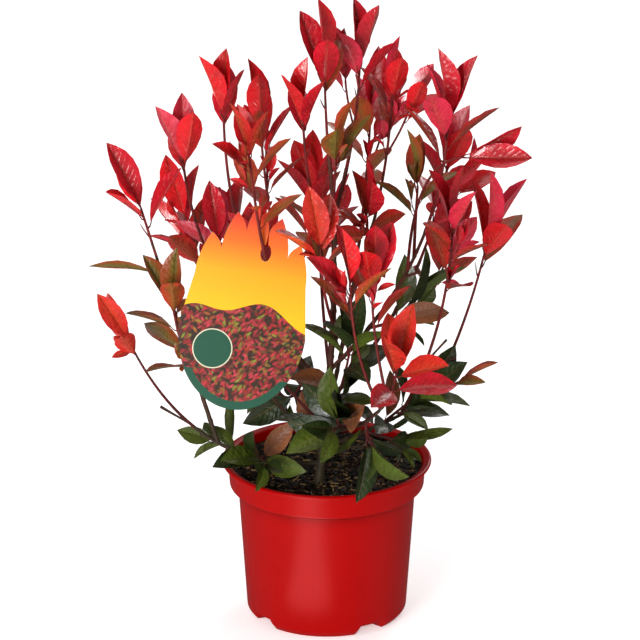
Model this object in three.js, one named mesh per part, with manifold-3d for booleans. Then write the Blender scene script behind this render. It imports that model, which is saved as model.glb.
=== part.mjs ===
// A potted evergreen shrub with red young leaves: a plastic pot filled with compost, a woody
// trunk, its boughs, the leafy shoots that end them, and a hang tag on one twig.
// Millimetres, +Z up. The origin is the middle of the pot's flat underside, and -Y is the front.

import * as THREE from 'three';
import { mergeVertices } from 'three/addons/utils/BufferGeometryUtils.js';
import Module from 'manifold-3d';

const wasm = await Module();
wasm.setup();

// Pot: heights, and radii of the outside from the foot to the rim
const POT_SIDES = 36;
const POT_HEIGHT = 150;
const FOOT_RADIUS = 73;
const FOOT_ROUND = 6;
const SHOULDER_RADIUS = 81;
const SHOULDER_HEIGHT = 122;
const COLLAR_RADIUS = 88.8;
const COLLAR_HEIGHT = 125.2;
const COLLAR_SPREAD = 1.4;
const LIP_RADIUS = 95.8;
const LIP_HEIGHT = 145.6;
const WALL = 2;
const FLOOR = 2.2;
const LEDGE_RADIUS = 56;
const LEDGE_HEIGHT = 9.4;

// Recesses under the pot's bottom edge
const RECESS_COUNT = 4;
const RECESS_HEADING = 35;
const RECESS_WIDTH = 28;
const RECESS_HEIGHT = 7;
const RECESS_DEPTH = 13;

// Compost: height of its level middle, and of its edge at the pot's wall
const GROUND = 142;
const GROUND_EDGE = 139.5;
const GROUND_FLAT = 62;

// Clearance between neighbouring solids, how far a joined solid's faces may be evened out, and
// the distance under which two corners are one
const GAP = 0.35;
const FINE = 0.08;
const MERGE = 1e-3;

// Trunk: the foot, two pulls and tip of its curve, and its radii
const TRUNK_FOOT = [-7, -44, GROUND + GAP];
const TRUNK_PULL_LOW = [2, -40, 235];
const TRUNK_PULL_HIGH = [14, -16, 345];
const TRUNK_TIP = [1, -4, 450];
const TRUNK_RADIUS = 3.9;
const TRUNK_TIP_RADIUS = 1.8;
const TRUNK_SIDES = 8;
const TRUNK_RINGS = 12;
const FLARE = 2.6;
const FLARE_HEIGHT = 6;

// Boughs and twigs: radii, sides and rings of their solids, and the stem length of a leaf mass
const BOUGH_RADIUS = 2.2;
const SPRIG_RADIUS = 1.6;
const TWIG_RADIUS = 1.1;
const BOUGH_SIDES = 5;
const TWIG_SIDES = 3;
const BOUGH_RINGS = 6;
const TWIG_RINGS = 4;
const CROWN_STEM = 96;

// Leaves: spacing down the stem, opening from it, turning round it and twist in degrees, and
// section. Only the first ones of a stem have a shoulder.
const SPACING = 1.2;
const SPACING_GROWTH = 1.1;
const OPEN_FIRST = 5;
const OPEN_RANGE = 50;
const OPEN_RANKS = 3.5;
const GOLDEN_ANGLE = 137.5;
const TWIST = 150;
const TWIST_RANKS = 4;
const LEAF_FOLD = 0.32;
const LEAF_THICKNESS = 1.2;
const PETIOLE_WIDTH = 1.5;
const ROOT_SHARE = 0.06;
const BROADEST = 0.42;
const SHOULDER = 0.74;
const SHOULDER_SHARE = 0.72;
const SHOULDERED = 3;
const LOWEST_LEAF = GROUND + 4;
const CROSSING = 0.04;

// Side twigs of a leaf mass: distance below its tip, opening, length, turn and leaves
const FORK_DROP = 58;
const FORK_OPEN = 26;
const FORK_LENGTH = 46;
const FORK_TURN = 340;
const FORK_LEAVES = 4;
const FORK_BLADE = 0.8;

// Hang tag: half width, reach above and below its hole, and the points along its top edge
const TAG_HALF_WIDTH = 57;
const TAG_ABOVE = 46;
const TAG_BELOW = 144;
const TAG_THICKNESS = 0.8;
const TAG_POINTS = 5;
const TAG_POINT_WIDTH = 20;
const TAG_POINT_DEPTH = 25;
const TAG_POINT_FALL = 13;
const TAG_FALL_GROWTH = 1.4;

// The tag's oblong hole beside its centre line, the slit up from it, and how it hangs on its twig
const TAG_OFFSET = -10;
const TAG_HOLE_WIDTH = 9.6;
const TAG_HOLE_HEIGHT = 15.4;
const TAG_SLIT = 0.6;
const TAG_HANG = 374;
const TAG_LEAN = 14;
const TAG_ROLL = 9;
const TAG_SHIFT = 1.5;

// Colours of the pot, compost, bark and tag
const POT_COLOUR = 0xc40d12;
const COMPOST_COLOUR = 0x2a1d15;
const BARK_COLOUR = 0x4a2a22;
const TAG_COLOUR = 0xf0a818;

const UP = new THREE.Vector3(0, 0, 1);

// Leaf kinds: width as a share of length, how far the blade arches back, and colour
const KINDS = {
  bright: { width: 0.41, arch: 0.1, colour: 0xc81c26 },
  deep: { width: 0.42, arch: 0.14, colour: 0x9c1f22 },
  bronze: { width: 0.42, arch: 0.18, colour: 0x8a4a22 },
  green: { width: 0.45, arch: 0.26, colour: 0x33451f },
};

// Shoots, one a row. A shoot leaves the limb `on` at the share `at` of its length, and ends at
// the height `up`, `out` from the pot's axis on the compass `heading` (0 right, 90 back, 270
// front). It leans by `nod` at its tip and keeps that lean over the share `sweep` of its reach.
// Its `leaves` start facing `turn`, and the longest is `blade` long. With `bough` its lower part
// is a bare limb, below the stem length `crown` that its leaves take. It has `forks` side twigs.
const SHOOTS = [
  { name: 'leader', on: 'trunk', at: 1, out: 2, heading: 180, up: 518, nod: 1, sweep: 0.5,
    turn: 222, leaves: 7, blade: 72, kind: 'bright', forks: 0, spread: 0.6},
  { name: 'crest', on: 'trunk', at: 0.8, out: 46, heading: 50, up: 515, nod: 3, sweep: 0.5,
    turn: 180, leaves: 7, blade: 66, kind: 'bright', forks: 1, bough: true, spread: 0.8},
  { name: 'right_crest', on: 'trunk', at: 0.42, out: 74, heading: 37, up: 486, nod: 3, sweep: 0.5,
    turn: 0, leaves: 8, blade: 60, kind: 'bright', forks: 1, bough: true, spread: 0.85},
  { name: 'left_crest', on: 'trunk', at: 0.55, out: 26, heading: 215, up: 477, nod: 4, sweep: 0.5,
    turn: 40, leaves: 7, blade: 64, kind: 'bright', forks: 0, bough: true, spread: 0.9},
  { name: 'tag_twig', on: 'trunk', at: 0.22, out: 105, heading: 229, up: 470, nod: 8, sweep: 0.62,
    turn: 180, leaves: 8, blade: 58, kind: 'deep', forks: 0, bough: true },
  { name: 'left_spire', on: 'trunk', at: 0.3, out: 94, heading: 171, up: 475, nod: 1, sweep: 0.62,
    turn: 42, leaves: 7, blade: 68, kind: 'bright', forks: 0, bough: true, spread: 0.8 },
  { name: 'right_spire', on: 'trunk', at: 0.36, out: 109, heading: 5, up: 467, nod: 3, sweep: 0.55,
    turn: 180, leaves: 8, blade: 74, kind: 'bright', forks: 0, bough: true },
  { name: 'left_shoulder', on: 'trunk', at: 0.25, out: 136, heading: 163, up: 422, nod: 6, sweep: 0.5,
    turn: 42, leaves: 6, blade: 66, kind: 'bright', forks: 0, bough: true },
  { name: 'left_low', on: 'trunk', at: 0.07, out: 188, heading: 199, up: 287, nod: 24, sweep: 0.7,
    turn: 180, leaves: 4, blade: 60, kind: 'bright', forks: 0, bough: true },
  { name: 'left_wing', on: 'left_low', at: 0.46, out: 169, heading: 188, up: 402, nod: 16, sweep: 0.5,
    turn: 180, leaves: 6, blade: 68, kind: 'bright', forks: 0, bough: true },
  { name: 'right_low', on: 'trunk', at: 0.12, out: 120, heading: 0, up: 224, nod: 55, sweep: 0.5,
    turn: 20, leaves: 3, blade: 42, kind: 'bronze', forks: 0, bough: true, crown: 28 },
  { name: 'right_fan', on: 'right_low', at: 0.55, out: 121, heading: 338, up: 389, nod: 2, sweep: 0.5,
    turn: 30, leaves: 8, blade: 66, kind: 'bright', forks: 0 },
  { name: 'right_wing', on: 'right_low', at: 0.78, out: 144, heading: 0, up: 356, nod: 12, sweep: 0.5,
    turn: 222, leaves: 7, blade: 74, kind: 'bright', forks: 0 },
  { name: 'front_low', on: 'trunk', at: 0.17, out: 141, heading: 296, up: 283, nod: 16, sweep: 0.45,
    turn: 52, leaves: 6, blade: 74, kind: 'bright', forks: 0, bough: true, crown: 36, spread: 1.8 },
  { name: 'front_mid', on: 'front_low', at: 0.6, out: 122, heading: 280, up: 362, nod: 4, sweep: 0.5,
    turn: 180, leaves: 6, blade: 64, kind: 'deep', forks: 0 },
  { name: 'back_left', on: 'trunk', at: 0.15, out: 134, heading: 117, up: 425, nod: 10, sweep: 0.5,
    turn: 90, leaves: 9, blade: 66, kind: 'bright', forks: 1, bough: true },
  { name: 'back_right', on: 'trunk', at: 0.2, out: 146, heading: 74, up: 432, nod: 10, sweep: 0.5,
    turn: 60, leaves: 9, blade: 66, kind: 'bright', forks: 1, bough: true },
  { name: 'back_far_right', on: 'trunk', at: 0.26, out: 156, heading: 45, up: 392, nod: 14, sweep: 0.5,
    turn: 20, leaves: 8, blade: 66, kind: 'bright', forks: 1, bough: true },
  { name: 'back_wing', on: 'trunk', at: 0.1, out: 177, heading: 137, up: 335, nod: 22, sweep: 0.5,
    turn: 140, leaves: 8, blade: 64, kind: 'bright', forks: 1, bough: true },
  { name: 'front_tall', on: 'front_low', at: 0.72, out: 108, heading: 292, up: 355, nod: 6, sweep: 0.4,
    turn: 300, leaves: 7, blade: 66, kind: 'bright', forks: 0 },
  { name: 'heart', on: 'trunk', at: 0.35, out: 60, heading: 97, up: 369, nod: 4, sweep: 0.5,
    turn: 20, leaves: 8, blade: 60, kind: 'deep', forks: 1},
  { name: 'right_heart', on: 'right_crest', at: 0.45, out: 38, heading: 345, up: 384, nod: 6, sweep: 0.4,
    turn: 180, leaves: 7, blade: 60, kind: 'deep', forks: 0 },
  { name: 'olive_crest', on: 'trunk', at: 0.84, out: 24, heading: 290, up: 447, nod: 8, sweep: 0.4,
    turn: 0, leaves: 4, blade: 62, kind: 'bronze', forks: 0 },
  { name: 'right_inner', on: 'right_spire', at: 0.5, out: 86, heading: 17, up: 405, nod: 4, sweep: 0.4,
    turn: 175, leaves: 6, blade: 58, kind: 'bronze', forks: 0 },
  { name: 'right_arm', on: 'right_spire', at: 0.45, out: 126, heading: 345, up: 452, nod: 82, sweep: 0.35,
    turn: 0, leaves: 2, blade: 62, kind: 'deep', forks: 0 },
  { name: 'left_mid', on: 'left_wing', at: 0.25, out: 145, heading: 198, up: 312, nod: 8, sweep: 0.5,
    turn: 0, leaves: 8, blade: 60, kind: 'bronze', forks: 0 },
  { name: 'left_back', on: 'trunk', at: 0.19, out: 112, heading: 151, up: 338, nod: 8, sweep: 0.5,
    turn: 160, leaves: 7, blade: 64, kind: 'bright', forks: 0 },
  { name: 'left_rear', on: 'back_left', at: 0.35, out: 122, heading: 132, up: 326, nod: 8, sweep: 0.5,
    turn: 0, leaves: 7, blade: 62, kind: 'deep', forks: 0 },
  { name: 'front_heart', on: 'trunk', at: 0.5, out: 78, heading: 266, up: 378, nod: 8, sweep: 0.4,
    turn: 150, leaves: 5, blade: 66, kind: 'deep', forks: 0 },
  { name: 'behind_tag', on: 'tag_twig', at: 0.25, out: 67, heading: 200, up: 350, nod: 6, sweep: 0.5,
    turn: 100, leaves: 7, blade: 60, kind: 'bright', forks: 0 },
  { name: 'back_middle', on: 'back_left', at: 0.5, out: 160, heading: 94, up: 345, nod: 16, sweep: 0.5,
    turn: 80, leaves: 8, blade: 62, kind: 'bright', forks: 0 },
  { name: 'back_low', on: 'back_far_right', at: 0.35, out: 180, heading: 52, up: 292, nod: 26, sweep: 0.5,
    turn: 40, leaves: 7, blade: 60, kind: 'bright', forks: 0 },
  { name: 'green_front', on: 'front_low', at: 0.25, out: 95, heading: 276, up: 222, nod: 40, sweep: 0.4,
    turn: 175, leaves: 8, blade: 68, kind: 'green', forks: 0 },
  { name: 'green_hanging', on: 'front_low', at: 0.4, out: 105, heading: 291, up: 204, nod: 100, sweep: 0.4,
    turn: 0, leaves: 5, blade: 62, kind: 'green', forks: 0 },
  { name: 'green_right', on: 'right_low', at: 0.42, out: 88, heading: 340, up: 222, nod: 50, sweep: 0.4,
    turn: 0, leaves: 9, blade: 58, kind: 'green', forks: 0 },
  { name: 'green_rim_right', on: 'right_low', at: 0.3, out: 70, heading: 335, up: 180, nod: 80, sweep: 0.4,
    turn: 300, leaves: 5, blade: 56, kind: 'green', forks: 0 },
  { name: 'green_rim_left', on: 'left_low', at: 0.25, out: 82, heading: 223, up: 172, nod: 70, sweep: 0.4,
    turn: 240, leaves: 6, blade: 56, kind: 'green', forks: 0 },
  { name: 'green_left', on: 'left_low', at: 0.36, out: 104, heading: 193, up: 176, nod: 70, sweep: 0.4,
    turn: 150, leaves: 7, blade: 56, kind: 'green', forks: 0 },
  { name: 'green_heart', on: 'trunk', at: 0.16, out: 60, heading: 290, up: 276, nod: 20, sweep: 0.4,
    turn: 80, leaves: 11, blade: 62, kind: 'green', forks: 0, spread: 1.3 },
  { name: 'green_mid', on: 'right_spire', at: 0.2, out: 78, heading: 15, up: 290, nod: 40, sweep: 0.4,
    turn: 10, leaves: 6, blade: 62, kind: 'green', forks: 0 },
  { name: 'green_back', on: 'back_left', at: 0.2, out: 74, heading: 128, up: 194, nod: 50, sweep: 0.4,
    turn: 90, leaves: 9, blade: 64, kind: 'green', forks: 0 },
];

// Solids and meshes

function radians(degrees) {
  return (degrees * Math.PI) / 180;
}

// Rows of three corners whose corners are all different, facing out
function properTriangles(corners, points) {
  const triangles = [];
  let volume = 0;
  const [a, b, c] = [new THREE.Vector3(), new THREE.Vector3(), new THREE.Vector3()];
  for (let i = 0; i < corners.length; i += 3) {
    const [p, q, r] = [corners[i], corners[i + 1], corners[i + 2]];
    if (p !== q && q !== r && r !== p) {
      triangles.push(p, q, r);
      a.fromArray(points, p * 3);
      b.fromArray(points, q * 3);
      c.fromArray(points, r * 3);
      volume += a.dot(b.cross(c));
    }
  }
  return volume < 0 ? triangles.reverse() : triangles;
}

function solidOf(geometry) {
  const bare = geometry.clone();
  bare.deleteAttribute('normal');
  bare.deleteAttribute('uv');
  const merged = mergeVertices(bare, MERGE);
  const points = merged.getAttribute('position').array;
  return new wasm.Manifold(new wasm.Mesh({
    numProp: 3,
    vertProperties: Float32Array.from(points),
    triVerts: Uint32Array.from(properTriangles(merged.getIndex().array, points)),
  }));
}

function geometryOf(solid) {
  const mesh = solid.getMesh();
  const geometry = new THREE.BufferGeometry();
  geometry.setAttribute('position', new THREE.BufferAttribute(Float32Array.from(mesh.vertProperties), 3));
  geometry.setIndex(Array.from(mesh.triVerts));
  geometry.computeVertexNormals();
  return geometry;
}

// The largest of a solid's separate pieces
function mainPiece(solid) {
  const pieces = solid.decompose();
  return pieces.reduce((best, piece) => (piece.volume() > best.volume() ? piece : best));
}

// A joined solid with its small faces evened out, less its scraps and sealed hollows
function evened(solid) {
  const outer = mainPiece(mainPiece(solid).simplify(FINE));
  return mainPiece(solidOf(geometryOf(outer)));
}

// A closed skin over rings of points that follow one another, with a flat or pointed end
function skin(rings) {
  const points = [];
  const corners = [];
  const starts = rings.map((ring) => {
    const start = points.length / 3;
    ring.forEach((point) => points.push(point.x, point.y, point.z));
    return start;
  });
  for (let i = 0; i + 1 < rings.length; i += 1) {
    const size = rings[i].length;
    for (let j = 0; j < size; j += 1) {
      const k = (j + 1) % size;
      const [a, b] = [starts[i] + j, starts[i] + k];
      if (rings[i + 1].length === 1) {
        corners.push(a, b, starts[i + 1]);
      } else {
        const [c, d] = [starts[i + 1] + k, starts[i + 1] + j];
        corners.push(a, b, c, a, c, d);
      }
    }
  }
  const last = rings.length - 1;
  for (let j = 1; j + 1 < rings[0].length; j += 1) {
    corners.push(starts[0], starts[0] + j + 1, starts[0] + j);
  }
  for (let j = 1; j + 1 < rings[last].length; j += 1) {
    corners.push(starts[last], starts[last] + j, starts[last] + j + 1);
  }
  const geometry = new THREE.BufferGeometry();
  geometry.setAttribute('position', new THREE.BufferAttribute(new Float32Array(points), 3));
  geometry.setIndex(corners);
  return geometry;
}

// Seeded draws between 0 and 1
function drawsFrom(seed) {
  let state = seed;
  return () => {
    state = (state * 48271) % 2147483647;
    return state / 2147483647;
  };
}

// Pot and compost

function turned(profile) {
  const points = profile.map(([radius, height]) => new THREE.Vector2(radius, height));
  const geometry = new THREE.LatheGeometry(points, POT_SIDES);
  geometry.rotateX(Math.PI / 2);
  return geometry;
}

function potGeometry() {
  const inner = SHOULDER_RADIUS - WALL;
  const collarInner = COLLAR_RADIUS - WALL;
  const profile = [
    [0, 0],
    [FOOT_RADIUS - FOOT_ROUND, 0],
    [FOOT_RADIUS - FOOT_ROUND * 0.35, 2],
    [FOOT_RADIUS, FOOT_ROUND],
    [SHOULDER_RADIUS, SHOULDER_HEIGHT],
    [COLLAR_RADIUS, COLLAR_HEIGHT],
    [COLLAR_RADIUS + COLLAR_SPREAD, LIP_HEIGHT],
    [LIP_RADIUS - 0.5, LIP_HEIGHT + 0.8],
    [LIP_RADIUS, POT_HEIGHT - 2],
    [LIP_RADIUS - 0.9, POT_HEIGHT - 0.5],
    [LIP_RADIUS - 2.6, POT_HEIGHT],
    [collarInner + COLLAR_SPREAD, POT_HEIGHT - 2],
    [collarInner, COLLAR_HEIGHT + WALL + 0.2],
    [inner, SHOULDER_HEIGHT + WALL + 0.2],
    [FOOT_RADIUS - WALL, LEDGE_HEIGHT + 4],
    [FOOT_RADIUS - WALL - 3, LEDGE_HEIGHT],
    [LEDGE_RADIUS, LEDGE_HEIGHT],
    [LEDGE_RADIUS - 6, FLOOR],
    [0, FLOOR],
  ];
  let pot = solidOf(turned(profile));
  const recess = new THREE.Shape();
  recess.moveTo(-RECESS_WIDTH / 2, -1);
  recess.lineTo(RECESS_WIDTH / 2, -1);
  recess.lineTo(RECESS_WIDTH / 2 - 3, RECESS_HEIGHT);
  recess.lineTo(-RECESS_WIDTH / 2 + 3, RECESS_HEIGHT);
  recess.closePath();
  for (let i = 0; i < RECESS_COUNT; i += 1) {
    const block = new THREE.ExtrudeGeometry(recess, { depth: 2 * RECESS_DEPTH, bevelEnabled: false });
    block.rotateX(Math.PI / 2);
    block.rotateZ(Math.PI / 2);
    block.translate(FOOT_RADIUS - RECESS_DEPTH, 0, 0);
    block.rotateZ(radians(RECESS_HEADING + (360 / RECESS_COUNT) * i));
    pot = pot.subtract(solidOf(block));
  }
  return geometryOf(pot);
}

function compostGeometry() {
  const inner = SHOULDER_RADIUS - WALL - GAP;
  const collarInner = COLLAR_RADIUS - WALL - GAP;
  return turned([
    [0, FLOOR + GAP],
    [LEDGE_RADIUS - 6 - GAP, FLOOR + GAP],
    [LEDGE_RADIUS - GAP, LEDGE_HEIGHT + GAP],
    [FOOT_RADIUS - WALL - 3 - GAP, LEDGE_HEIGHT + GAP],
    [FOOT_RADIUS - WALL - GAP, LEDGE_HEIGHT + 4],
    [inner, SHOULDER_HEIGHT + WALL + 0.2 + GAP],
    [collarInner, COLLAR_HEIGHT + WALL + 0.2 + GAP],
    [collarInner + 0.5, GROUND_EDGE],
    [GROUND_FLAT, GROUND],
    [0, GROUND],
  ]);
}

// Limbs: each has a path, the share of it that the limb takes, and a radius along it

function acrossOf(tangent, hint) {
  return hint.clone().addScaledVector(tangent, -hint.dot(tangent)).normalize();
}

function limbGeometry({ path, from, to, radiusAt }, sides, count, extra = 0) {
  const rings = [];
  let side = new THREE.Vector3(0, 1, 0);
  for (let i = 0; i <= count; i += 1) {
    const t = from + (to - from) * (i / count);
    const centre = path.getPoint(t);
    const tangent = path.getTangent(t);
    side = acrossOf(tangent, side);
    const other = tangent.clone().cross(side);
    const radius = radiusAt(t) + extra;
    const ring = [];
    for (let j = 0; j < sides; j += 1) {
      const angle = (2 * Math.PI * j) / sides;
      ring.push(centre.clone()
        .addScaledVector(side, Math.cos(angle) * radius)
        .addScaledVector(other, Math.sin(angle) * radius));
    }
    rings.push(ring);
  }
  return skin(rings);
}

// The direction that leans by `lean` from upright towards a compass heading
function direction(lean, heading) {
  const [a, h] = [radians(lean), radians(heading)];
  return new THREE.Vector3(Math.sin(a) * Math.cos(h), Math.sin(a) * Math.sin(h), Math.cos(a));
}

// The direction that opens by `open` degrees from a stem's tangent towards a compass turn
function opened(tangent, open, turn) {
  const tilt = new THREE.Quaternion().setFromUnitVectors(UP, tangent);
  return direction(open, turn).applyQuaternion(tilt);
}

// The trunk rises from a foot sunk below the ground, which the level cut takes off
function trunkLimb() {
  const path = new THREE.CubicBezierCurve3(
    new THREE.Vector3(...TRUNK_FOOT),
    new THREE.Vector3(...TRUNK_PULL_LOW),
    new THREE.Vector3(...TRUNK_PULL_HIGH),
    new THREE.Vector3(...TRUNK_TIP),
  );
  const length = path.getLength();
  const radiusAt = (t) => THREE.MathUtils.lerp(TRUNK_RADIUS, TRUNK_TIP_RADIUS, t)
    + FLARE * Math.exp((-t * length) / FLARE_HEIGHT);
  return { path, from: 0, to: 1, radiusAt };
}

function trunkSolid(trunk, extra = 0) {
  const eased = {
    path: {
      getPoint: (t) => trunk.path.getPoint(t ** 2),
      getTangent: (t) => trunk.path.getTangent(t ** 2),
    },
    from: 0,
    to: 1,
    radiusAt: (t) => trunk.radiusAt(t ** 2),
  };
  const earth = new THREE.BoxGeometry(4 * GROUND_FLAT, 4 * GROUND_FLAT, GROUND);
  earth.translate(0, 0, GROUND / 2 + GAP);
  return solidOf(limbGeometry(eased, TRUNK_SIDES, TRUNK_RINGS, extra)).subtract(solidOf(earth));
}

// A shoot's path from its parent limb to its head
function shootPath(shoot, parent) {
  const foot = parent.path.getPoint(shoot.at);
  const heading = radians(shoot.heading);
  const head = new THREE.Vector3(shoot.out * Math.cos(heading), shoot.out * Math.sin(heading), shoot.up);
  const reach = head.distanceTo(foot) * shoot.sweep;
  const pull = head.clone().addScaledVector(direction(shoot.nod, shoot.heading), -reach);
  return new THREE.QuadraticBezierCurve3(foot, pull, head);
}

// A side twig that opens from a stem and turns up towards it
function forkPath(stem, turn) {
  const t = 1 - FORK_DROP / stem.path.getLength();
  const foot = stem.path.getPoint(t);
  const tangent = stem.path.getTangent(t);
  const out = opened(tangent, FORK_OPEN, turn);
  const pull = foot.clone().addScaledVector(out, FORK_LENGTH / 2);
  const head = pull.clone().addScaledVector(out.add(tangent).normalize(), FORK_LENGTH / 2);
  return new THREE.QuadraticBezierCurve3(foot, pull, head);
}

// Leaves down a stem from its tip: where each is rooted, where it points and faces, and its size
function leavesOn(path, lowest, { count, blade, kind, turn, spread = 1 }, draw) {
  const length = path.getLength();
  const leaves = [];
  for (let rank = 0; rank < count; rank += 1) {
    const down = SPACING * rank + SPACING_GROWTH * rank * rank;
    const t = Math.max(1 - down / length, lowest);
    const tangent = path.getTangent(t);
    const round = turn + GOLDEN_ANGLE * rank + 24 * (draw() - 0.5);
    const opening = OPEN_FIRST + OPEN_RANGE * (1 - Math.exp(-rank / OPEN_RANKS)) + 8 * (draw() - 0.5);
    const open = opening * spread;
    const along = opened(tangent, open, round);
    const facing = opened(tangent, open + 90, round).negate();
    facing.applyAxisAngle(along, radians(TWIST * Math.exp(-rank / TWIST_RANKS) * (draw() - 0.5)));
    const size = blade * (1 - 0.025 * rank) * (0.92 + 0.12 * draw());
    const { width, arch } = KINDS[kind];
    leaves.push({
      rank,
      root: path.getPoint(t),
      along,
      facing,
      length: size,
      width: size * width,
      arch: arch * (0.6 + 0.1 * rank),
    });
  }
  return leaves;
}

// A leaf: a blade folded along its midrib, pointed at the tip and narrow at its root
function leafGeometry(leaf, extra = 0) {
  const across = leaf.along.clone().cross(leaf.facing);
  const section = (t, half) => {
    const middle = leaf.root.clone()
      .addScaledVector(leaf.along, t * leaf.length)
      .addScaledVector(leaf.facing, -leaf.arch * leaf.length * t * t);
    const edge = half + extra;
    const lift = LEAF_FOLD * half + extra;
    return [
      middle.clone().addScaledVector(across, edge).addScaledVector(leaf.facing, lift),
      middle.clone().addScaledVector(across, -edge).addScaledVector(leaf.facing, lift),
      middle.clone().addScaledVector(leaf.facing, -LEAF_THICKNESS - extra),
    ];
  };
  const tip = leaf.root.clone()
    .addScaledVector(leaf.along, leaf.length + 2 * extra)
    .addScaledVector(leaf.facing, -leaf.arch * leaf.length);
  return skin([
    section(0, PETIOLE_WIDTH / 2),
    section(BROADEST, leaf.width / 2),
    ...(leaf.rank < SHOULDERED ? [section(SHOULDER, (leaf.width / 2) * SHOULDER_SHARE)] : []),
    [tip],
  ]);
}

// Hang tag: a round-bottomed card with a crown of points, threaded on a twig by its hole

function tagShape() {
  const shape = new THREE.Shape();
  const waist = -TAG_BELOW / 2;
  const crownAt = (step, drop) => [
    TAG_OFFSET + TAG_POINT_WIDTH * step,
    TAG_ABOVE - TAG_POINT_FALL * Math.abs(step) ** TAG_FALL_GROWTH - drop,
  ];
  const last = (TAG_POINTS - 1) / 2;
  shape.moveTo(TAG_OFFSET + TAG_HALF_WIDTH, waist);
  shape.lineTo(...crownAt(last + 0.5, TAG_POINT_DEPTH));
  for (let step = last; step >= -last; step -= 1) {
    const tip = crownAt(step, 0);
    const right = crownAt(step + 0.5, TAG_POINT_DEPTH);
    const left = crownAt(step - 0.5, TAG_POINT_DEPTH);
    shape.quadraticCurveTo(right[0], (right[1] + tip[1]) / 2, ...tip);
    shape.quadraticCurveTo(left[0], (left[1] + tip[1]) / 2, ...left);
  }
  shape.lineTo(TAG_OFFSET - TAG_HALF_WIDTH, waist);
  shape.absellipse(TAG_OFFSET, waist, TAG_HALF_WIDTH, TAG_BELOW + waist, Math.PI, 2 * Math.PI, false);
  const hole = new THREE.Path();
  hole.absellipse(0, 0, TAG_HOLE_WIDTH / 2, TAG_HOLE_HEIGHT / 2, 0, 2 * Math.PI, true);
  shape.holes.push(hole);
  return shape;
}

// The share of a path at which it passes a height
function shareAtHeight(path, height) {
  let [low, high] = [0, 1];
  for (let i = 0; i < 30; i += 1) {
    const middle = (low + high) / 2;
    if (path.getPoint(middle).z < height) {
      low = middle;
    } else {
      high = middle;
    }
  }
  return low;
}

function tagGeometry(twig) {
  const card = new THREE.ExtrudeGeometry(tagShape(), {
    depth: TAG_THICKNESS, bevelEnabled: false, curveSegments: 6,
  });
  const slit = new THREE.BoxGeometry(TAG_SLIT, TAG_ABOVE / 2, 4 * TAG_THICKNESS);
  slit.translate(0, TAG_ABOVE / 4, 0);
  const geometry = geometryOf(solidOf(card).subtract(solidOf(slit)));
  geometry.translate(0, 0, -TAG_THICKNESS / 2);
  geometry.rotateZ(-radians(TAG_ROLL));
  geometry.rotateX(Math.PI / 2 - radians(TAG_LEAN));
  const { x, y, z } = twig.path.getPoint(shareAtHeight(twig.path, TAG_HANG));
  geometry.translate(x + TAG_SHIFT, y, z);
  return geometry;
}

// Places taken by solids so far, so that a neighbour keeps clear of them

const placed = [];

function place(node, solid) {
  placed.push({ node, solid, box: solid.boundingBox() });
}

function boxesMeet(one, two) {
  return [0, 1, 2].every((i) => one.min[i] < two.max[i] && two.min[i] < one.max[i]);
}

function meets(node, solid) {
  const box = solid.boundingBox();
  return placed.filter((other) => other.node !== node && boxesMeet(box, other.box)
    && !solid.intersect(other.solid).isEmpty());
}

// A limb's solid, cut clear of every limb that it springs from or grows beside
function fittedLimb(node, shape, sides, rings, cutters) {
  let solid = solidOf(limbGeometry(shape, sides, rings));
  const whole = solid.volume();
  const box = solid.boundingBox();
  cutters.filter((cutter) => boxesMeet(box, cutter.boundingBox())).forEach((cutter) => {
    solid = solid.subtract(cutter);
  });
  const piece = mainPiece(solid);
  if (piece.volume() < 0.6 * whole) {
    throw new Error(`${node} runs through another limb`);
  }
  return piece;
}

// Assembly

const plant = new THREE.Group();

function addPart(name, geometry, colour, roughness) {
  const material = new THREE.MeshStandardMaterial({ color: colour, roughness, metalness: 0 });
  const mesh = new THREE.Mesh(geometry, material);
  mesh.name = name;
  plant.add(mesh);
}

const pot = potGeometry();
const compost = compostGeometry();
addPart('pot', pot, POT_COLOUR, 0.35);
addPart('compost', compost, COMPOST_COLOUR, 0.95);
place('pot', solidOf(pot));
place('compost', solidOf(compost));

const limbs = { trunk: trunkLimb() };
const cutters = [trunkSolid(limbs.trunk, GAP)];
const trunk = trunkSolid(limbs.trunk);
addPart('trunk', geometryOf(trunk), BARK_COLOUR, 0.8);
place('trunk', trunk);

// Each shoot's limb, and the share of it that is a bare bough
const growths = SHOOTS.map((shoot, number) => {
  const parent = limbs[shoot.on];
  const path = shootPath(shoot, parent);
  const length = path.getLength();
  const start = shoot.bough ? BOUGH_RADIUS : SPRIG_RADIUS;
  const radiusAt = (t) => THREE.MathUtils.lerp(start, TWIG_RADIUS, t);
  const bare = shoot.bough ? 1 - (shoot.crown ?? CROWN_STEM) / length : 0;
  const stem = { path, from: 0, to: 1, radiusAt };
  limbs[shoot.name] = stem;
  return { shoot, stem, bare, length, draw: drawsFrom(7919 * (number + 1)) };
});

growths.filter(({ shoot }) => shoot.bough).forEach(({ shoot, stem, bare }) => {
  const node = `bough_${shoot.name}`;
  const shape = { ...stem, to: bare };
  const solid = fittedLimb(node, shape, BOUGH_SIDES, BOUGH_RINGS, cutters);
  cutters.push(solidOf(limbGeometry({ ...shape, to: bare }, BOUGH_SIDES, BOUGH_RINGS, GAP)));
  addPart(node, geometryOf(solid), BARK_COLOUR, 0.8);
  place(node, solid);
});

const tag = tagGeometry(limbs.tag_twig);
addPart('tag', tag, TAG_COLOUR, 0.45);
place('tag', solidOf(tag));

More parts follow.
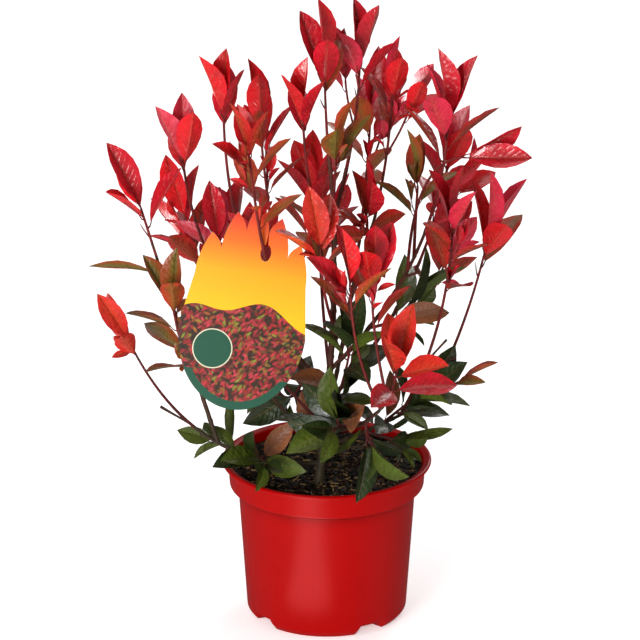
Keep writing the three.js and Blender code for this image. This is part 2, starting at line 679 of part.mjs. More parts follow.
// Each mass's stem and side twigs, then its leaves, the topmost of every mass first
const masses = growths.map((growth) => {
  const { shoot, stem, bare, length, draw } = growth;
  const node = `leaves_${shoot.name}`;
  const from = bare + (bare > 0 || shoot.at === 1 ? GAP / length : 0);
  const rings = bare > 0 ? TWIG_RINGS : BOUGH_RINGS;
  let solid = fittedLimb(node, { ...stem, from }, TWIG_SIDES, rings, cutters);
  const leaves = leavesOn(stem.path, from + ROOT_SHARE, { ...shoot, count: shoot.leaves }, draw);
  for (let i = 0; i < shoot.forks; i += 1) {
    const turn = shoot.turn + FORK_TURN + GOLDEN_ANGLE * i;
    const path = forkPath(stem, turn);
    const fork = { path, from: 0, to: 1, radiusAt: () => TWIG_RADIUS };
    solid = solid.add(solidOf(limbGeometry(fork, TWIG_SIDES, 3)));
    const sprig = { count: FORK_LEAVES, blade: shoot.blade * FORK_BLADE, kind: shoot.kind, turn };
    leaves.push(...leavesOn(path, ROOT_SHARE, sprig, draw));
  }
  const touched = meets(node, solid);
  if (touched.length > 0) {
    throw new Error(`${node} runs through ${touched.map((other) => other.node)}`);
  }
  place(node, solid);
  return { node, shoot, solid, leaves };
});

const ranks = Math.max(...SHOOTS.map((shoot) => shoot.leaves));
for (let rank = 0; rank < ranks; rank += 1) {
  masses.forEach((mass) => {
    mass.leaves.filter((leaf) => leaf.rank === rank).forEach((leaf) => {
      const room = solidOf(leafGeometry(leaf, GAP));
      const solid = solidOf(leafGeometry(leaf));
      const shared = mass.solid.intersect(solid).volume() / solid.volume();
      const free = shared < CROSSING && meets(mass.node, room).length === 0;
      if (free && room.boundingBox().min[2] > LOWEST_LEAF) {
        mass.solid = mass.solid.add(solid);
        place(mass.node, solid);
      }
    });
  });
}

masses.forEach(({ node, shoot, solid }) => {
  addPart(node, geometryOf(evened(solid)), KINDS[shoot.kind].colour, 0.4);
});

export default plant;
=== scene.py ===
"""A potted photinia: its pot, compost, wood, leaves and tag, and the studio round it.

Sizes in tables and paths are millimetres, as in the part's source. Meshes are metres.
"""

import math
from collections import namedtuple
from types import SimpleNamespace as Part

import bpy
from mathutils import Matrix, Quaternion, Vector, noise
from mathutils.bvhtree import BVHTree


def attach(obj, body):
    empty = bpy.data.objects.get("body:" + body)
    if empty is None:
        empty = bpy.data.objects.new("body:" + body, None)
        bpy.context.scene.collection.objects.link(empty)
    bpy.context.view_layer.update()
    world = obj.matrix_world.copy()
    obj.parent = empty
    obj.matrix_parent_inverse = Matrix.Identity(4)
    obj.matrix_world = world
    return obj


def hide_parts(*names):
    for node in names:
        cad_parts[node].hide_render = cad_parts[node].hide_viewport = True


bl_info = {
    "name": "Potted photinia",
    "version": (1, 0, 0),
    "blender": (4, 5, 0),
    "location": "3D View > Sidebar > Photinia",
    "description": "Makes a potted photinia with red young leaves on its packed frame",
    "category": "Add Mesh",
}

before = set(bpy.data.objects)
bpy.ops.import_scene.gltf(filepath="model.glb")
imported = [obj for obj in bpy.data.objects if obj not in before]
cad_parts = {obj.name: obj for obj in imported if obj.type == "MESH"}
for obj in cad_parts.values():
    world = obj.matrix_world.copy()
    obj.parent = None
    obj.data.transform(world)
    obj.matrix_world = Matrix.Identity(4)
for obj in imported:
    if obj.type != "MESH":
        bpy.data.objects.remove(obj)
bpy.ops.object.select_all(action="DESELECT")
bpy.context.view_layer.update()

MM = 0.001
UP = Vector((0, 0, 1))
LENGTH_STEPS = 100
TANGENT_REACH = 0.002
DRAW_FACTOR = 48271
DRAW_RANGE = 2147483647

# Sizes, most of them the source's too

GROUND = 142
GROUND_EDGE = 139.5
GAP = 0.35

TRUNK_POINTS = ((-7, -44, GROUND + GAP), (2, -40, 235), (14, -16, 345), (1, -4, 450))
TRUNK_RADIUS = 3.9
TRUNK_TIP_RADIUS = 1.8
FLARE = 2.6
FLARE_HEIGHT = 6

BOUGH_RADIUS = 2.2
SPRIG_RADIUS = 1.6
TWIG_RADIUS = 1.1

SPACING = 1.2
SPACING_GROWTH = 1.1
OPEN_FIRST = 5
OPEN_RANGE = 50
OPEN_RANKS = 3.5
OPEN_PLAY = 8
GOLDEN_ANGLE = 137.5
GOLDEN_PLAY = 24
TWIST = 150
TWIST_RANKS = 4
BLADE_FALL = 0.025
BLADE_LEAST = 0.92
BLADE_PLAY = 0.12
ARCH_FIRST = 0.6
ARCH_GROWTH = 0.1
ROOT_SHARE = 0.06
LOWEST_LEAF = GROUND + 4
LEAF_SEED = 7919
SPRIG_SEED = 104729
BITS_SEED = 31337

FORK_DROP = 58
FORK_OPEN = 26
FORK_LENGTH = 46
FORK_TURN = 340
FORK_LEAVES = 4
FORK_BLADE = 0.8

TAG_HALF_WIDTH = 57
TAG_ABOVE = 46
TAG_BELOW = 144
TAG_POINTS = 5
TAG_POINT_WIDTH = 20
TAG_POINT_DEPTH = 25
TAG_POINT_FALL = 13
TAG_FALL_GROWTH = 1.4
TAG_OFFSET = -10
TAG_HOLE_WIDTH = 9.6
TAG_HOLE_HEIGHT = 15.4
TAG_SLIT = 0.6
TAG_HANG = 374
TAG_LEAN = 14
TAG_ROLL = 9
TAG_SHIFT = 1.5
HALVINGS = 30
BEND_STEPS = 6
HOLE_STEPS = 28
BELLY_STEPS = 40

POT_SIDES = 180
POT_FOOT = 73
POT_FOOT_FLAT = POT_FOOT - 5
POT_SHOULDER = 81
POT_SHOULDER_HEIGHT = 122
POT_COLLAR = 88.8
POT_COLLAR_HEIGHT = 125.2
POT_COLLAR_SPREAD = 1.4
POT_LIP_HEIGHT = 145.6
POT_WALL = 2
POT_FLOOR = 2.2
POT_LEDGE = 56
POT_LEDGE_HEIGHT = 9.4
# Height of the band of painted shade under the pot's collar, reaching down from its shoulder
POT_PAINTED_SHADE = 13
RECESS_HEADING = 35
RECESS_HALF_ANGLE = 10.5
RECESS_HEIGHT = 7
RECESS_START = 60
RECESS_FADE = 16
RECESS_BLEND = 3
POT_ROUNDING = 1.8
ROUNDING_STEPS = 4
CORNER_PARTS = 2.01

# The compost's outline from its foot to its brim, and the rings of its top
COMPOST_SIDES = 128
COMPOST_FLANK = ((30, 2.6), (49.6, 2.6), (55.6, 9.8), (68, 9.8), (70.8, 14), (78.4, 124.6), (86.3, 127.8))
COMPOST_BRIM = 87.2
COMPOST_RINGS = 60
COMPOST_RING_STEP = 1.45
COMPOST_EDGE_RINGS = 17
TOP_FROM = 138
TOP_REACH = 86.8

# What lies on the compost: share of the bits, lengths, widths, depths, dark colour, pale colour
BITS = {
    "dark_clods": (0.44, (4.0, 14), (3.0, 9.0), (2.0, 6.0), (0.004, 0.003, 0.002), (0.022, 0.012, 0.007)),
    "bark_chips": (0.28, (4.0, 19), (2.0, 7.5), (0.8, 2.8), (0.016, 0.008, 0.004), (0.16, 0.080, 0.034)),
    "wood_chips": (0.12, (3.0, 14), (1.2, 4.2), (0.6, 1.8), (0.14, 0.075, 0.028), (0.46, 0.30, 0.13)),
    "straw_fibres": (0.18, (8, 30), (0.5, 1.3), (0.4, 0.9), (0.24, 0.15, 0.055), (0.62, 0.44, 0.20)),
    "pale_grains": (0.05, (0.9, 2.6), (0.9, 2.2), (0.9, 1.8), (0.50, 0.44, 0.34), (0.78, 0.74, 0.66)),
}
BIT_REACH = 85
BIT_SIDES = 5
BIT_RISE = 0.9
BIT_TIP = 0.7
BIT_SKEW = 1.6
BIT_LEAST = 0.55
BIT_PLAY = 0.4
BIT_SLANT = 0.05
GRAIN_REACH = 58
GRAIN_BAND = 0.3
GRAINS_OUT = 0.3
EDGE_FROM = 62
EDGE_WIDTH = 24

# Finer growth than the source's: sprigs in leaf axils, leaf stalks, blades, scars and pruned stubs
SPRIG_FIRST_RANK = 3
SPRIG_EVERY = 2
SPRIG_LENGTHS = (10.5, 19.5)
SPRIG_OPEN = 34
SPRIG_TURN = 60
SPRIG_RADII = (0.75, 0.45)
SPRIG_LEAVES = 3
SPRIG_SPREAD = 1.2
SPRIG_RAISE = 1.5
SPRIG_BLADE = 0.36
GREEN_SPRIG_BLADE = 0.6
TWIG_STEP = 4
TWIG_LEAST_STEPS = 4
TWIG_END = 0.6
STALK_SHARE = 0.12
STALK_OVERLAP = 0.03
STALK_SAG = 0.02
SICKLE = 0.05
FOLD_AT_TIP = 1.35
FOLD_FALL = 0.09
FOLD_CURVE = 0.4
EDGE_WAVE = 0.0175
WAVES_ALONG = 6.5
WAVES_ACROSS = 1.3
PHASE_TURN = 0.1
TIP_THICKNESS = 0.6
BARK_STEP = 1.6
SCAR_SPACINGS = (20.8, 23.4, 26, 28.6, 31.2)
SCAR_SWELL = 0.2
SCAR_REACH = 1.6
WANDER = 0.5
WANDER_RATE = 0.05
WANDER_START = 12
WANDER_SEED = 11
LIMB_OFFSET = 7.3
STUB_WIDTH = 0.75
STUB_STEPS = 4
STUB_SWELL = 1.12

# Pruned stubs: limb, share of its length, opening, compass heading and length
STUBS = (
    ("right_spire", 0.42, 42, 330, 16), ("right_low", 0.62, 42, 300, 14),
    ("left_low", 0.48, 42, 120, 15), ("left_shoulder", 0.40, 42, 40, 12),
    ("right_crest", 0.30, 42, 300, 12), ("front_low", 0.50, 42, 210, 13),
    ("left_low", 0.60, 9, 199, 34), ("right_fan", 0.26, 40, 350, 36), ("right_fan", 0.31, 24, 20, 30),
)

# Rows of a leaf stalk: share of its reach, share of its sag, and radius
STALK_ROWS = ((0, 0, 0.95), (0.35, 1, 0.62), (0.7, 0.6, 0.52), (1, 0, 0.5))

# Colour that the veins lean towards
PALE_VEIN = (0.70, 0.36, 0.20)

# Rows of a blade: share of its length, and its breadth as a share of the widest
BLADE_ROWS = (
    (0, 0.05), (0.09, 0.36), (0.24, 0.76), (0.42, 0.98), (0.60, 0.99), (0.77, 0.78), (0.90, 0.40), (1, 0),
)
BLADE_COLUMNS = 5

# The rows of a leaf in the coarse form that finds its room, and how it is turned to find it
SHEET_ROWS = ((0.2, 0.25), (0.42, 0.5), (0.74, 0.36), (1, 0.01))
SHEET_RISE = 0.3
RIBBON_STEPS = 12
LEAF_SHIFTS = (0, 16, -16, 32, -32, 50, -50)
ROOT_STEPS = 60
ROOT_REACH = 4
GIRTH_LENGTH = 60
GIRTHS = (0.45, 1.1)

# The card's own map, and what is printed on it: the middles and sizes of its roundel and band
CARD_MAP = 200
CARD_MAP_RISE = 0.75
ROUNDEL_RIGHT = -24
ROUNDEL_UP = -92
ROUNDEL_RADIUS = 17.0
ROUNDEL_EDGE = 1.0
BAND_UP = -72
BAND_HALF_HEIGHT = 72
BAND_TOP = -112.0

# Layers of printed leaves: the way that they lie, and how many breadths and lengths a map's width holds
PRINTED_LAYERS = (
    (0.3, 40, 16), (-0.9, 46, 19), (1.4, 44, 17), (0.7, 52, 21), (-0.4, 50, 20), (2.3, 60, 24),
)

# The middle of the view
VIEW_CENTRE = (-6.2, 0, 284.0)

# Lights, in metres: the point that they face, then the place and size of each, and its power as
# a share of the key or overhead light
LIT_POINT = (0, 0, 0.3)
LIGHTS = (
    ("key_light", (-0.95, -2.1, 0.45), (0.8, 1.1), "key", 1),
    ("high_light", (-1.3, -1.5, 1.7), (1.2, 1.2), "key", 0.3),
    ("fill_light", (1.9, -1.1, 0.8), (1.0, 1.2), "key", 0.24),
    ("overhead_light", (0, 0.8, 2.8), (3.2, 3.2), "overhead", 1),
    ("back_light", (0.9, 1.7, 1.1), (0.8, 0.8), "key", 0.2),
    ("gloss_strip", (-0.95, -2.1, 0.3), (0.35, 0.9), "key", 0.6),
    ("pot_gloss", (-0.105, -0.31, 0.004), (0.10, 0.44), "key", 0.016),
)
POT_GLOSS_TURN = -19
SENSOR = 36
AIR_STRENGTH = 0.12
FLOOR_SIZE = 16
FARTHEST = 40

# Leaf kinds: width as a share of length, and how far the blade arches back
KINDS = {
    "bright": (0.41, 0.10),
    "deep": (0.42, 0.14),
    "bronze": (0.42, 0.18),
    "green": (0.45, 0.26),
}

# Shoots: the limb that each grows on and where, how far out and up its tip is and its compass
# heading, its nod, sweep and turn, its leaves, their length and kind, the leafy length above
# its bough if it has one, its forks, and how widely its leaves spread
Shoot = namedtuple("Shoot", "name on at out heading up nod sweep turn leaves blade kind crown forks spread",
                   defaults=(0, 0, 1))
SHOOTS = [Shoot(*row) for row in (
    ("leader", "trunk", 1, 2, 180, 518, 1, 0.5, 222, 7, 72, "bright", 0, 0, 0.6),
    ("crest", "trunk", 0.8, 46, 50, 515, 3, 0.5, 180, 7, 66, "bright", 96, 1, 0.8),
    ("right_crest", "trunk", 0.42, 74, 37, 486, 3, 0.5, 0, 8, 60, "bright", 96, 1, 0.85),
    ("left_crest", "trunk", 0.55, 26, 215, 477, 4, 0.5, 40, 7, 64, "bright", 96, 0, 0.9),
    ("tag_twig", "trunk", 0.22, 105, 229, 470, 8, 0.62, 180, 8, 58, "deep", 96),
    ("left_spire", "trunk", 0.3, 94, 171, 475, 1, 0.62, 42, 7, 68, "bright", 96, 0, 0.8),
    ("right_spire", "trunk", 0.36, 109, 5, 467, 3, 0.55, 180, 8, 74, "bright", 96),
    ("left_shoulder", "trunk", 0.25, 136, 163, 422, 6, 0.5, 42, 6, 66, "bright", 96),
    ("left_low", "trunk", 0.07, 188, 199, 287, 24, 0.7, 180, 4, 60, "bright", 96),
    ("left_wing", "left_low", 0.46, 169, 188, 402, 16, 0.5, 180, 6, 68, "bright", 96),
    ("right_low", "trunk", 0.12, 120, 0, 224, 55, 0.5, 20, 3, 42, "bronze", 28),
    ("right_fan", "right_low", 0.55, 121, 338, 389, 2, 0.5, 30, 8, 66, "bright"),
    ("right_wing", "right_low", 0.78, 144, 0, 356, 12, 0.5, 222, 7, 74, "bright"),
    ("front_low", "trunk", 0.17, 141, 296, 283, 16, 0.45, 52, 6, 74, "bright", 36, 0, 1.8),
    ("front_mid", "front_low", 0.6, 122, 280, 362, 4, 0.5, 180, 6, 64, "deep"),
    ("back_left", "trunk", 0.15, 134, 117, 425, 10, 0.5, 90, 9, 66, "bright", 96, 1),
    ("back_right", "trunk", 0.2, 146, 74, 432, 10, 0.5, 60, 9, 66, "bright", 96, 1),
    ("back_far_right", "trunk", 0.26, 156, 45, 392, 14, 0.5, 20, 8, 66, "bright", 96, 1),
    ("back_wing", "trunk", 0.1, 177, 137, 335, 22, 0.5, 140, 8, 64, "bright", 96, 1),
    ("front_tall", "front_low", 0.72, 108, 292, 355, 6, 0.4, 300, 7, 66, "bright"),
    ("heart", "trunk", 0.35, 60, 97, 369, 4, 0.5, 20, 8, 60, "deep", 0, 1),
    ("right_heart", "right_crest", 0.45, 38, 345, 384, 6, 0.4, 180, 7, 60, "deep"),
    ("olive_crest", "trunk", 0.84, 24, 290, 447, 8, 0.4, 0, 4, 62, "bronze"),
    ("right_inner", "right_spire", 0.5, 86, 17, 405, 4, 0.4, 175, 6, 58, "bronze"),
    ("right_arm", "right_spire", 0.45, 126, 345, 452, 82, 0.35, 0, 2, 62, "deep"),
    ("left_mid", "left_wing", 0.25, 145, 198, 312, 8, 0.5, 0, 8, 60, "bronze"),
    ("left_back", "trunk", 0.19, 112, 151, 338, 8, 0.5, 160, 7, 64, "bright"),
    ("left_rear", "back_left", 0.35, 122, 132, 326, 8, 0.5, 0, 7, 62, "deep"),
    ("front_heart", "trunk", 0.5, 78, 266, 378, 8, 0.4, 150, 5, 66, "deep"),
    ("behind_tag", "tag_twig", 0.25, 67, 200, 350, 6, 0.5, 100, 7, 60, "bright"),
    ("back_middle", "back_left", 0.5, 160, 94, 345, 16, 0.5, 80, 8, 62, "bright"),
    ("back_low", "back_far_right", 0.35, 180, 52, 292, 26, 0.5, 40, 7, 60, "bright"),
    ("green_front", "front_low", 0.25, 95, 276, 222, 40, 0.4, 175, 8, 68, "green"),
    ("green_hanging", "front_low", 0.4, 105, 291, 204, 100, 0.4, 0, 5, 62, "green"),
    ("green_right", "right_low", 0.42, 88, 340, 222, 50, 0.4, 0, 9, 58, "green"),
    ("green_rim_right", "right_low", 0.3, 70, 335, 180, 80, 0.4, 300, 5, 56, "green"),
    ("green_rim_left", "left_low", 0.25, 82, 223, 172, 70, 0.4, 240, 6, 56, "green"),
    ("green_left", "left_low", 0.36, 104, 193, 176, 70, 0.4, 150, 7, 56, "green"),
    ("green_heart", "trunk", 0.16, 60, 290, 276, 20, 0.4, 80, 11, 62, "green", 0, 0, 1.3),
    ("green_mid", "right_spire", 0.2, 78, 15, 290, 40, 0.4, 10, 6, 62, "green"),
    ("green_back", "back_left", 0.2, 74, 128, 194, 50, 0.4, 90, 9, 64, "green"),
)]

# Masses whose stems are bare below their first leaves, and how many leaves each keeps
OPEN_BELOW = {
    "leaves_leader": 5, "leaves_crest": 5, "leaves_left_crest": 4, "leaves_left_spire": 4,
    "leaves_left_shoulder": 4, "leaves_left_wing": 5, "leaves_left_back": 5, "leaves_right_spire": 6,
    "leaves_right_wing": 5,
}
SPRIG_LEAF_LENGTH = 36

# The low green leaves: shares of length and width, taken in turn down the shoot
SLENDER_MASSES = ("leaves_green_left", "leaves_green_rim_right")
PALE_MASS = "leaves_green_left"
SLENDER = ((0.66, 0.75), (0.95, 0.50), (0.50, 0.60))

# A long thin leaf that grows by itself on a bare limb
STRAY_LIMB = "left_wing"
STRAY_AT = 0.70
STRAY = dict(rank=5, open=52, around=175, twist=1.2, length=66, width=10, arch=0.34, kind="bronze",
             node="leaves_left_mid", number=25, girth=0.9)

# Leaf tints: colours of the upper side at its edge and along its midrib, of the underside, the
# record's slot, and the weight of the clear gloss
TINTS = {
    "scarlet": ((0.66, 0.008, 0.014), (0.56, 0.010, 0.012), (0.58, 0.045, 0.075), "leaf_bright", 0.6),
    "flame": ((0.58, 0.022, 0.016), (0.52, 0.032, 0.012), (0.60, 0.070, 0.055), "leaf_bright", 0.6),
    "crimson": ((0.54, 0.008, 0.020), (0.40, 0.008, 0.014), (0.44, 0.026, 0.065), "leaf_bright", 0.6),
    "rose": ((0.64, 0.022, 0.056), (0.56, 0.028, 0.046), (0.56, 0.065, 0.110), "leaf_bright", 0.6),
    "brick": ((0.46, 0.016, 0.014), (0.28, 0.032, 0.010), (0.38, 0.050, 0.050), "leaf_deep", 0.55),
    "russet": ((0.44, 0.046, 0.018), (0.28, 0.090, 0.014), (0.46, 0.130, 0.070), "leaf_bronze", 0.45),
    "olive": ((0.28, 0.056, 0.013), (0.135, 0.105, 0.012), (0.36, 0.180, 0.075), "leaf_bronze", 0.4),
    "withered": ((0.22, 0.070, 0.022), (0.16, 0.050, 0.016), (0.27, 0.120, 0.050), "leaf_bronze", 0.05),
    "forest": ((0.013, 0.024, 0.004), (0.019, 0.036, 0.005), (0.075, 0.105, 0.032), "leaf_green", 0.3),
    "moss": ((0.050, 0.068, 0.006), (0.062, 0.096, 0.008), (0.130, 0.170, 0.040), "leaf_green", 0.3),
}
FULL_COAT = 0.6

# The first ranks of a shoot take the young tint, the rest the old one
YOUNG_RANKS = 4
WITHERED_EVERY = 4
FLAME_MASSES = ("leaves_front_low", "leaves_front_heart", "leaves_left_low")
YOUNG = {
    "bright": ("scarlet", "crimson", "rose", "scarlet", "crimson"),
    "deep": ("crimson", "brick", "scarlet"),
    "bronze": ("russet", "olive"),
    "green": ("forest", "moss"),
}
OLD = {
    "bright": ("brick", "russet", "crimson", "brick"),
    "deep": ("brick", "russet"),
    "bronze": ("olive", "russet"),
    "green": ("forest", "moss", "forest"),
}


# Growth, by the source's rule


class Path:
    """A Bezier curve through millimetre points."""

    def __init__(self, *points):
        self.points = [Vector(point) for point in points]
        marks = [self.point(i / LENGTH_STEPS) for i in range(LENGTH_STEPS + 1)]
        self.length = sum((b - a).length for a, b in zip(marks, marks[1:]))

    def point(self, t):
        row = self.points
        while len(row) > 1:
            row = [a.lerp(b, t) for a, b in zip(row, row[1:])]
        return row[0]

    def tangent(self, t):
        low, high = max(t - TANGENT_REACH, 0), min(t + TANGENT_REACH, 1)
        return (self.point(high) - self.point(low)).normalized()


def draws_from(seed):
    """Seeded draws between 0 and 1."""
    state = seed
    while True:
        state = state * DRAW_FACTOR % DRAW_RANGE
        yield state / DRAW_RANGE


def direction(lean, heading):
    """The direction that leans from upright towards a compass heading."""
    a, h = math.radians(lean), math.radians(heading)
    return Vector((math.sin(a) * math.cos(h), math.sin(a) * math.sin(h), math.cos(a)))


def opened(tangent, angle, turn):
    """The direction that opens from a stem's tangent towards a compass turn."""
    return UP.rotation_difference(tangent) @ direction(angle, turn)


def shoot_path(shoot, parent):
    foot = parent.path.point(shoot.at)
    heading = math.radians(shoot.heading)
    head = Vector((shoot.out * math.cos(heading), shoot.out * math.sin(heading), shoot.up))
    reach = (head - foot).length * shoot.sweep
    return Path(foot, head - direction(shoot.nod, shoot.heading) * reach, head)


def side_path(path, drop, angle, turn, length):
    """A side twig that opens from a stem and turns up towards it."""
    t = 1 - drop / path.length
    foot, tangent = path.point(t), path.tangent(t)
    out = opened(tangent, angle, turn)
    pull = foot + out * (length / 2)
    return Path(foot, pull, pull + (out + tangent).normalized() * (length / 2))


def tapering(start, end):
    """A measure that goes evenly from one value to another."""
    return lambda t: start + (end - start) * t


def drop_of(rank):
    """How far below its stem's tip a leaf of a rank grows."""
    return SPACING * rank + SPACING_GROWTH * rank * rank


def leaves_on(path, lowest, count, blade, kind, turn, spread, draw):
    """Leaves down a stem from its tip: root, direction, upper side, size and place."""
    width, arch = KINDS[kind]
    leaves = []
    for rank in range(count):
        t = max(1 - drop_of(rank) / path.length, lowest)
        around = turn + GOLDEN_ANGLE * rank + GOLDEN_PLAY * (next(draw) - 0.5)
        opening = OPEN_FIRST + OPEN_RANGE * (1 - math.exp(-rank / OPEN_RANKS))
        opening += OPEN_PLAY * (next(draw) - 0.5)
        twist = TWIST * math.exp(-rank / TWIST_RANKS) * (next(draw) - 0.5)
        size = blade * (1 - BLADE_FALL * rank) * (BLADE_LEAST + BLADE_PLAY * next(draw))
        leaves.append(Part(
            rank=rank, root=path.point(t), tangent=path.tangent(t), around=around, open=opening * spread,
            twist=math.radians(twist), length=size, width=size * width,
            arch=arch * (ARCH_FIRST + ARCH_GROWTH * rank), kind=kind))
    return leaves


def grown():
    """The plant's limbs by name, its leaf masses' stems, and its leaves."""
    trunk = Path(*TRUNK_POINTS)
    taper = tapering(TRUNK_RADIUS, TRUNK_TIP_RADIUS)

    def trunk_radius(t):
        return taper(t) + FLARE * math.exp(-t * trunk.length / FLARE_HEIGHT)

    limbs = {"trunk": Part(path=trunk, bare=1, radius=trunk_radius)}
    stems, leaves = [], []
    for number, shoot in enumerate(SHOOTS):
        node = "leaves_" + shoot.name
        path = shoot_path(shoot, limbs[shoot.on])
        bare = 1 - shoot.crown / path.length if shoot.crown else 0
        radius = tapering(BOUGH_RADIUS if shoot.crown else SPRIG_RADIUS, TWIG_RADIUS)
        limbs[shoot.name] = Part(path=path, bare=bare, radius=radius)
        stems.append(Part(path=path, start=bare, radius=radius, node=node))
        draw = draws_from(LEAF_SEED * (number + 1))
        made = leaves_on(path, bare + ROOT_SHARE, shoot.leaves, shoot.blade, shoot.kind, shoot.turn,
                         shoot.spread, draw)
        for i in range(shoot.forks):
            turn = shoot.turn + FORK_TURN + GOLDEN_ANGLE * i
            fork = side_path(path, FORK_DROP, FORK_OPEN, turn, FORK_LENGTH)
            stems.append(Part(path=fork, start=0, radius=tapering(TWIG_RADIUS, TWIG_RADIUS), node=node))
            made += leaves_on(fork, ROOT_SHARE, FORK_LEAVES, shoot.blade * FORK_BLADE, shoot.kind, turn,
                              1, draw)
        draw = draws_from(SPRIG_SEED * (number + 1))
        for twig, turn in sprigs(shoot, path, bare, draw):
            stems.append(Part(path=twig, start=0, radius=tapering(*SPRIG_RADII), node=node))
            share = GREEN_SPRIG_BLADE if shoot.kind == "green" else SPRIG_BLADE
            made += leaves_on(twig, ROOT_SHARE, SPRIG_LEAVES, shoot.blade * share, shoot.kind, turn + 90,
                              SPRIG_SPREAD, draw)
        for leaf in made:
            leaf.node, leaf.number = node, number
        leaves += made
    return limbs, stems, leaves


def sprigs(shoot, path, bare, draw):
    """Small shoots in the axils of a mass's older leaves: the path and turn of each."""
    length_at = tapering(*SPRIG_LENGTHS)
    for rank in range(SPRIG_FIRST_RANK, shoot.leaves, SPRIG_EVERY):
        drop = drop_of(rank)
        length = length_at(next(draw))
        if 1 - drop / path.length >= bare + ROOT_SHARE:
            turn = shoot.turn + GOLDEN_ANGLE * rank + SPRIG_TURN * (next(draw) - 0.5)
            yield side_path(path, drop - SPRIG_RAISE, SPRIG_OPEN, turn, length), turn


# Meshes


def within(low, value, high):
    return min(max(value, low), high)


def point_mesh(name, points, faces, sides=None, corners=None):
    """A mesh piece from arrays, with an optional material number a face and a leaf map."""
    mesh = bpy.data.meshes.new(name)
    mesh.from_pydata(points, [], faces)
    if sides:
        mesh.polygons.foreach_set("material_index", sides)
    if corners:
        layer = mesh.uv_layers.new(name="blade")
        layer.data.foreach_set("uv", [value for corner in corners for value in corner])
    piece = bpy.data.objects.new(name, mesh)
    bpy.context.scene.collection.objects.link(piece)
    return piece


def pick(piece):
    """Makes a piece the only selected one, and the active one."""
    bpy.ops.object.select_all(action="DESELECT")
    piece.select_set(True)
    bpy.context.view_layer.objects.active = piece


def smooth(piece, angle):
    pick(piece)
    bpy.ops.object.shade_smooth_by_angle(angle=math.radians(angle))


def relief(piece, pattern, scale, strength, depth=3, **settings):
    """Displaces a piece by a clouds pattern of a scale in metres."""
    texture = bpy.data.textures.new(pattern, "CLOUDS")
    texture.noise_scale = scale
    texture.noise_depth = depth
    modifier = piece.modifiers.new(pattern, "DISPLACE")
    modifier.texture, modifier.texture_coords, modifier.strength = texture, "LOCAL", strength
    for key, value in settings.items():
        setattr(modifier, key, value)
    pick(piece)
    bpy.ops.object.modifier_apply(modifier=modifier.name)


def finish_piece(piece, name, slot, materials, nodes):
    """Names a piece, gives it its finish, and lets it stand for its CAD nodes."""
    piece.name = piece.data.name = name
    piece.data.materials.clear()
    for material in materials:
        piece.data.materials.append(material)
    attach(piece, "root")
    if nodes:
        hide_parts(*nodes)


def face_outwards():
    """Merges the active piece's doubles, turns its faces outwards and leaves edit mode."""
    bpy.ops.object.mode_set(mode="EDIT")
    bpy.ops.mesh.select_all(action="SELECT")
    bpy.ops.mesh.remove_doubles(threshold=1e-6)
    bpy.ops.mesh.normals_make_consistent(inside=False)
    bpy.ops.object.mode_set(mode="OBJECT")


def turned(profile, sides):
    """A closed piece turned about the pot's axis: a ring extruded and resized up a profile."""
    radius, height = profile[0]
    bpy.ops.mesh.primitive_circle_add(vertices=sides, radius=radius, location=(0, 0, height))
    piece = bpy.context.object
    bpy.ops.object.transform_apply(location=True, rotation=False, scale=False)
    bpy.ops.object.mode_set(mode="EDIT")
    bpy.ops.mesh.select_all(action="SELECT")
    for (r0, z0), (r1, z1) in zip(profile, profile[1:]):
        bpy.ops.mesh.extrude_region_move(TRANSFORM_OT_translate={"value": (0, 0, z1 - z0)})
        bpy.ops.transform.resize(value=(r1 / r0, r1 / r0, 1))
    bpy.ops.mesh.select_all(action="SELECT")
    bpy.ops.mesh.fill_holes(sides=0)
    face_outwards()
    return piece


def rounded(profile, radius, steps):
    """A profile whose inner corners are rounded, with radii and heights in millimetres."""
    points = [Vector(point) for point in profile]
    made = [points[0]]
    for before, corner, after in zip(points, points[1:], points[2:]):
        cut = min(radius, *((end - corner).length / CORNER_PARTS for end in (before, after)))
        start = corner + (before - corner).normalized() * cut
        end = corner + (after - corner).normalized() * cut
        for i in range(steps + 1):
            t = i / steps
            made.append(start.lerp(corner, t).lerp(corner.lerp(end, t), t))
    made.append(points[-1])
    return [(point.x * MM, point.y * MM) for point in made]


def from_curves(runs, dimensions, cyclic, **settings):
    """One mesh from curves through rows of (point, radius) in millimetres."""
    bpy.ops.curve.primitive_nurbs_path_add()
    curve = bpy.context.object.data
    curve.splines.clear()
    curve.dimensions = dimensions
    for key, value in settings.items():
        setattr(curve, key, value)
    for run in runs:
        spline = curve.splines.new("POLY")
        spline.use_cyclic_u = cyclic
        spline.points.add(len(run) - 1)
        for point, (place, radius) in zip(spline.points, run):
            point.co = (*(place * MM), 1)
            point.radius = radius
    bpy.ops.object.convert(target="MESH")
    face_outwards()
    return bpy.context.object


def tubes(runs, resolution):
    """One mesh of round tapering tubes."""
    return from_curves(runs, "3D", False, bevel_depth=MM, bevel_resolution=resolution, use_fill_caps=True)


# Finishes


def joined(operation, reflected=False):
    """A method that joins a shader value to others by a Math node's operation."""
    def method(self, *others):
        values = (*others, self) if reflected else (self, *others)
        return self.finish.node("ShaderNodeMath", {"operation": operation}, dict(enumerate(values)))
    return method


class Socket:
    """A shader value that Python expressions combine by Math nodes."""

    def __init__(self, finish, link):
        self.finish, self.link = finish, link

    __add__ = joined("ADD")
    __radd__ = joined("ADD", reflected=True)
    __sub__ = joined("SUBTRACT")
    __rsub__ = joined("SUBTRACT", reflected=True)
    __mul__ = joined("MULTIPLY")
    __rmul__ = joined("MULTIPLY", reflected=True)
    __truediv__ = joined("DIVIDE")
    __pow__ = joined("POWER")
    __abs__ = joined("ABSOLUTE")
    __lt__ = joined("LESS_THAN")
    __gt__ = joined("GREATER_THAN")
    sine = joined("SINE")
    root = joined("SQRT")

    def clamped(self):
        return self.finish.node("ShaderNodeClamp", {}, {"Value": self})


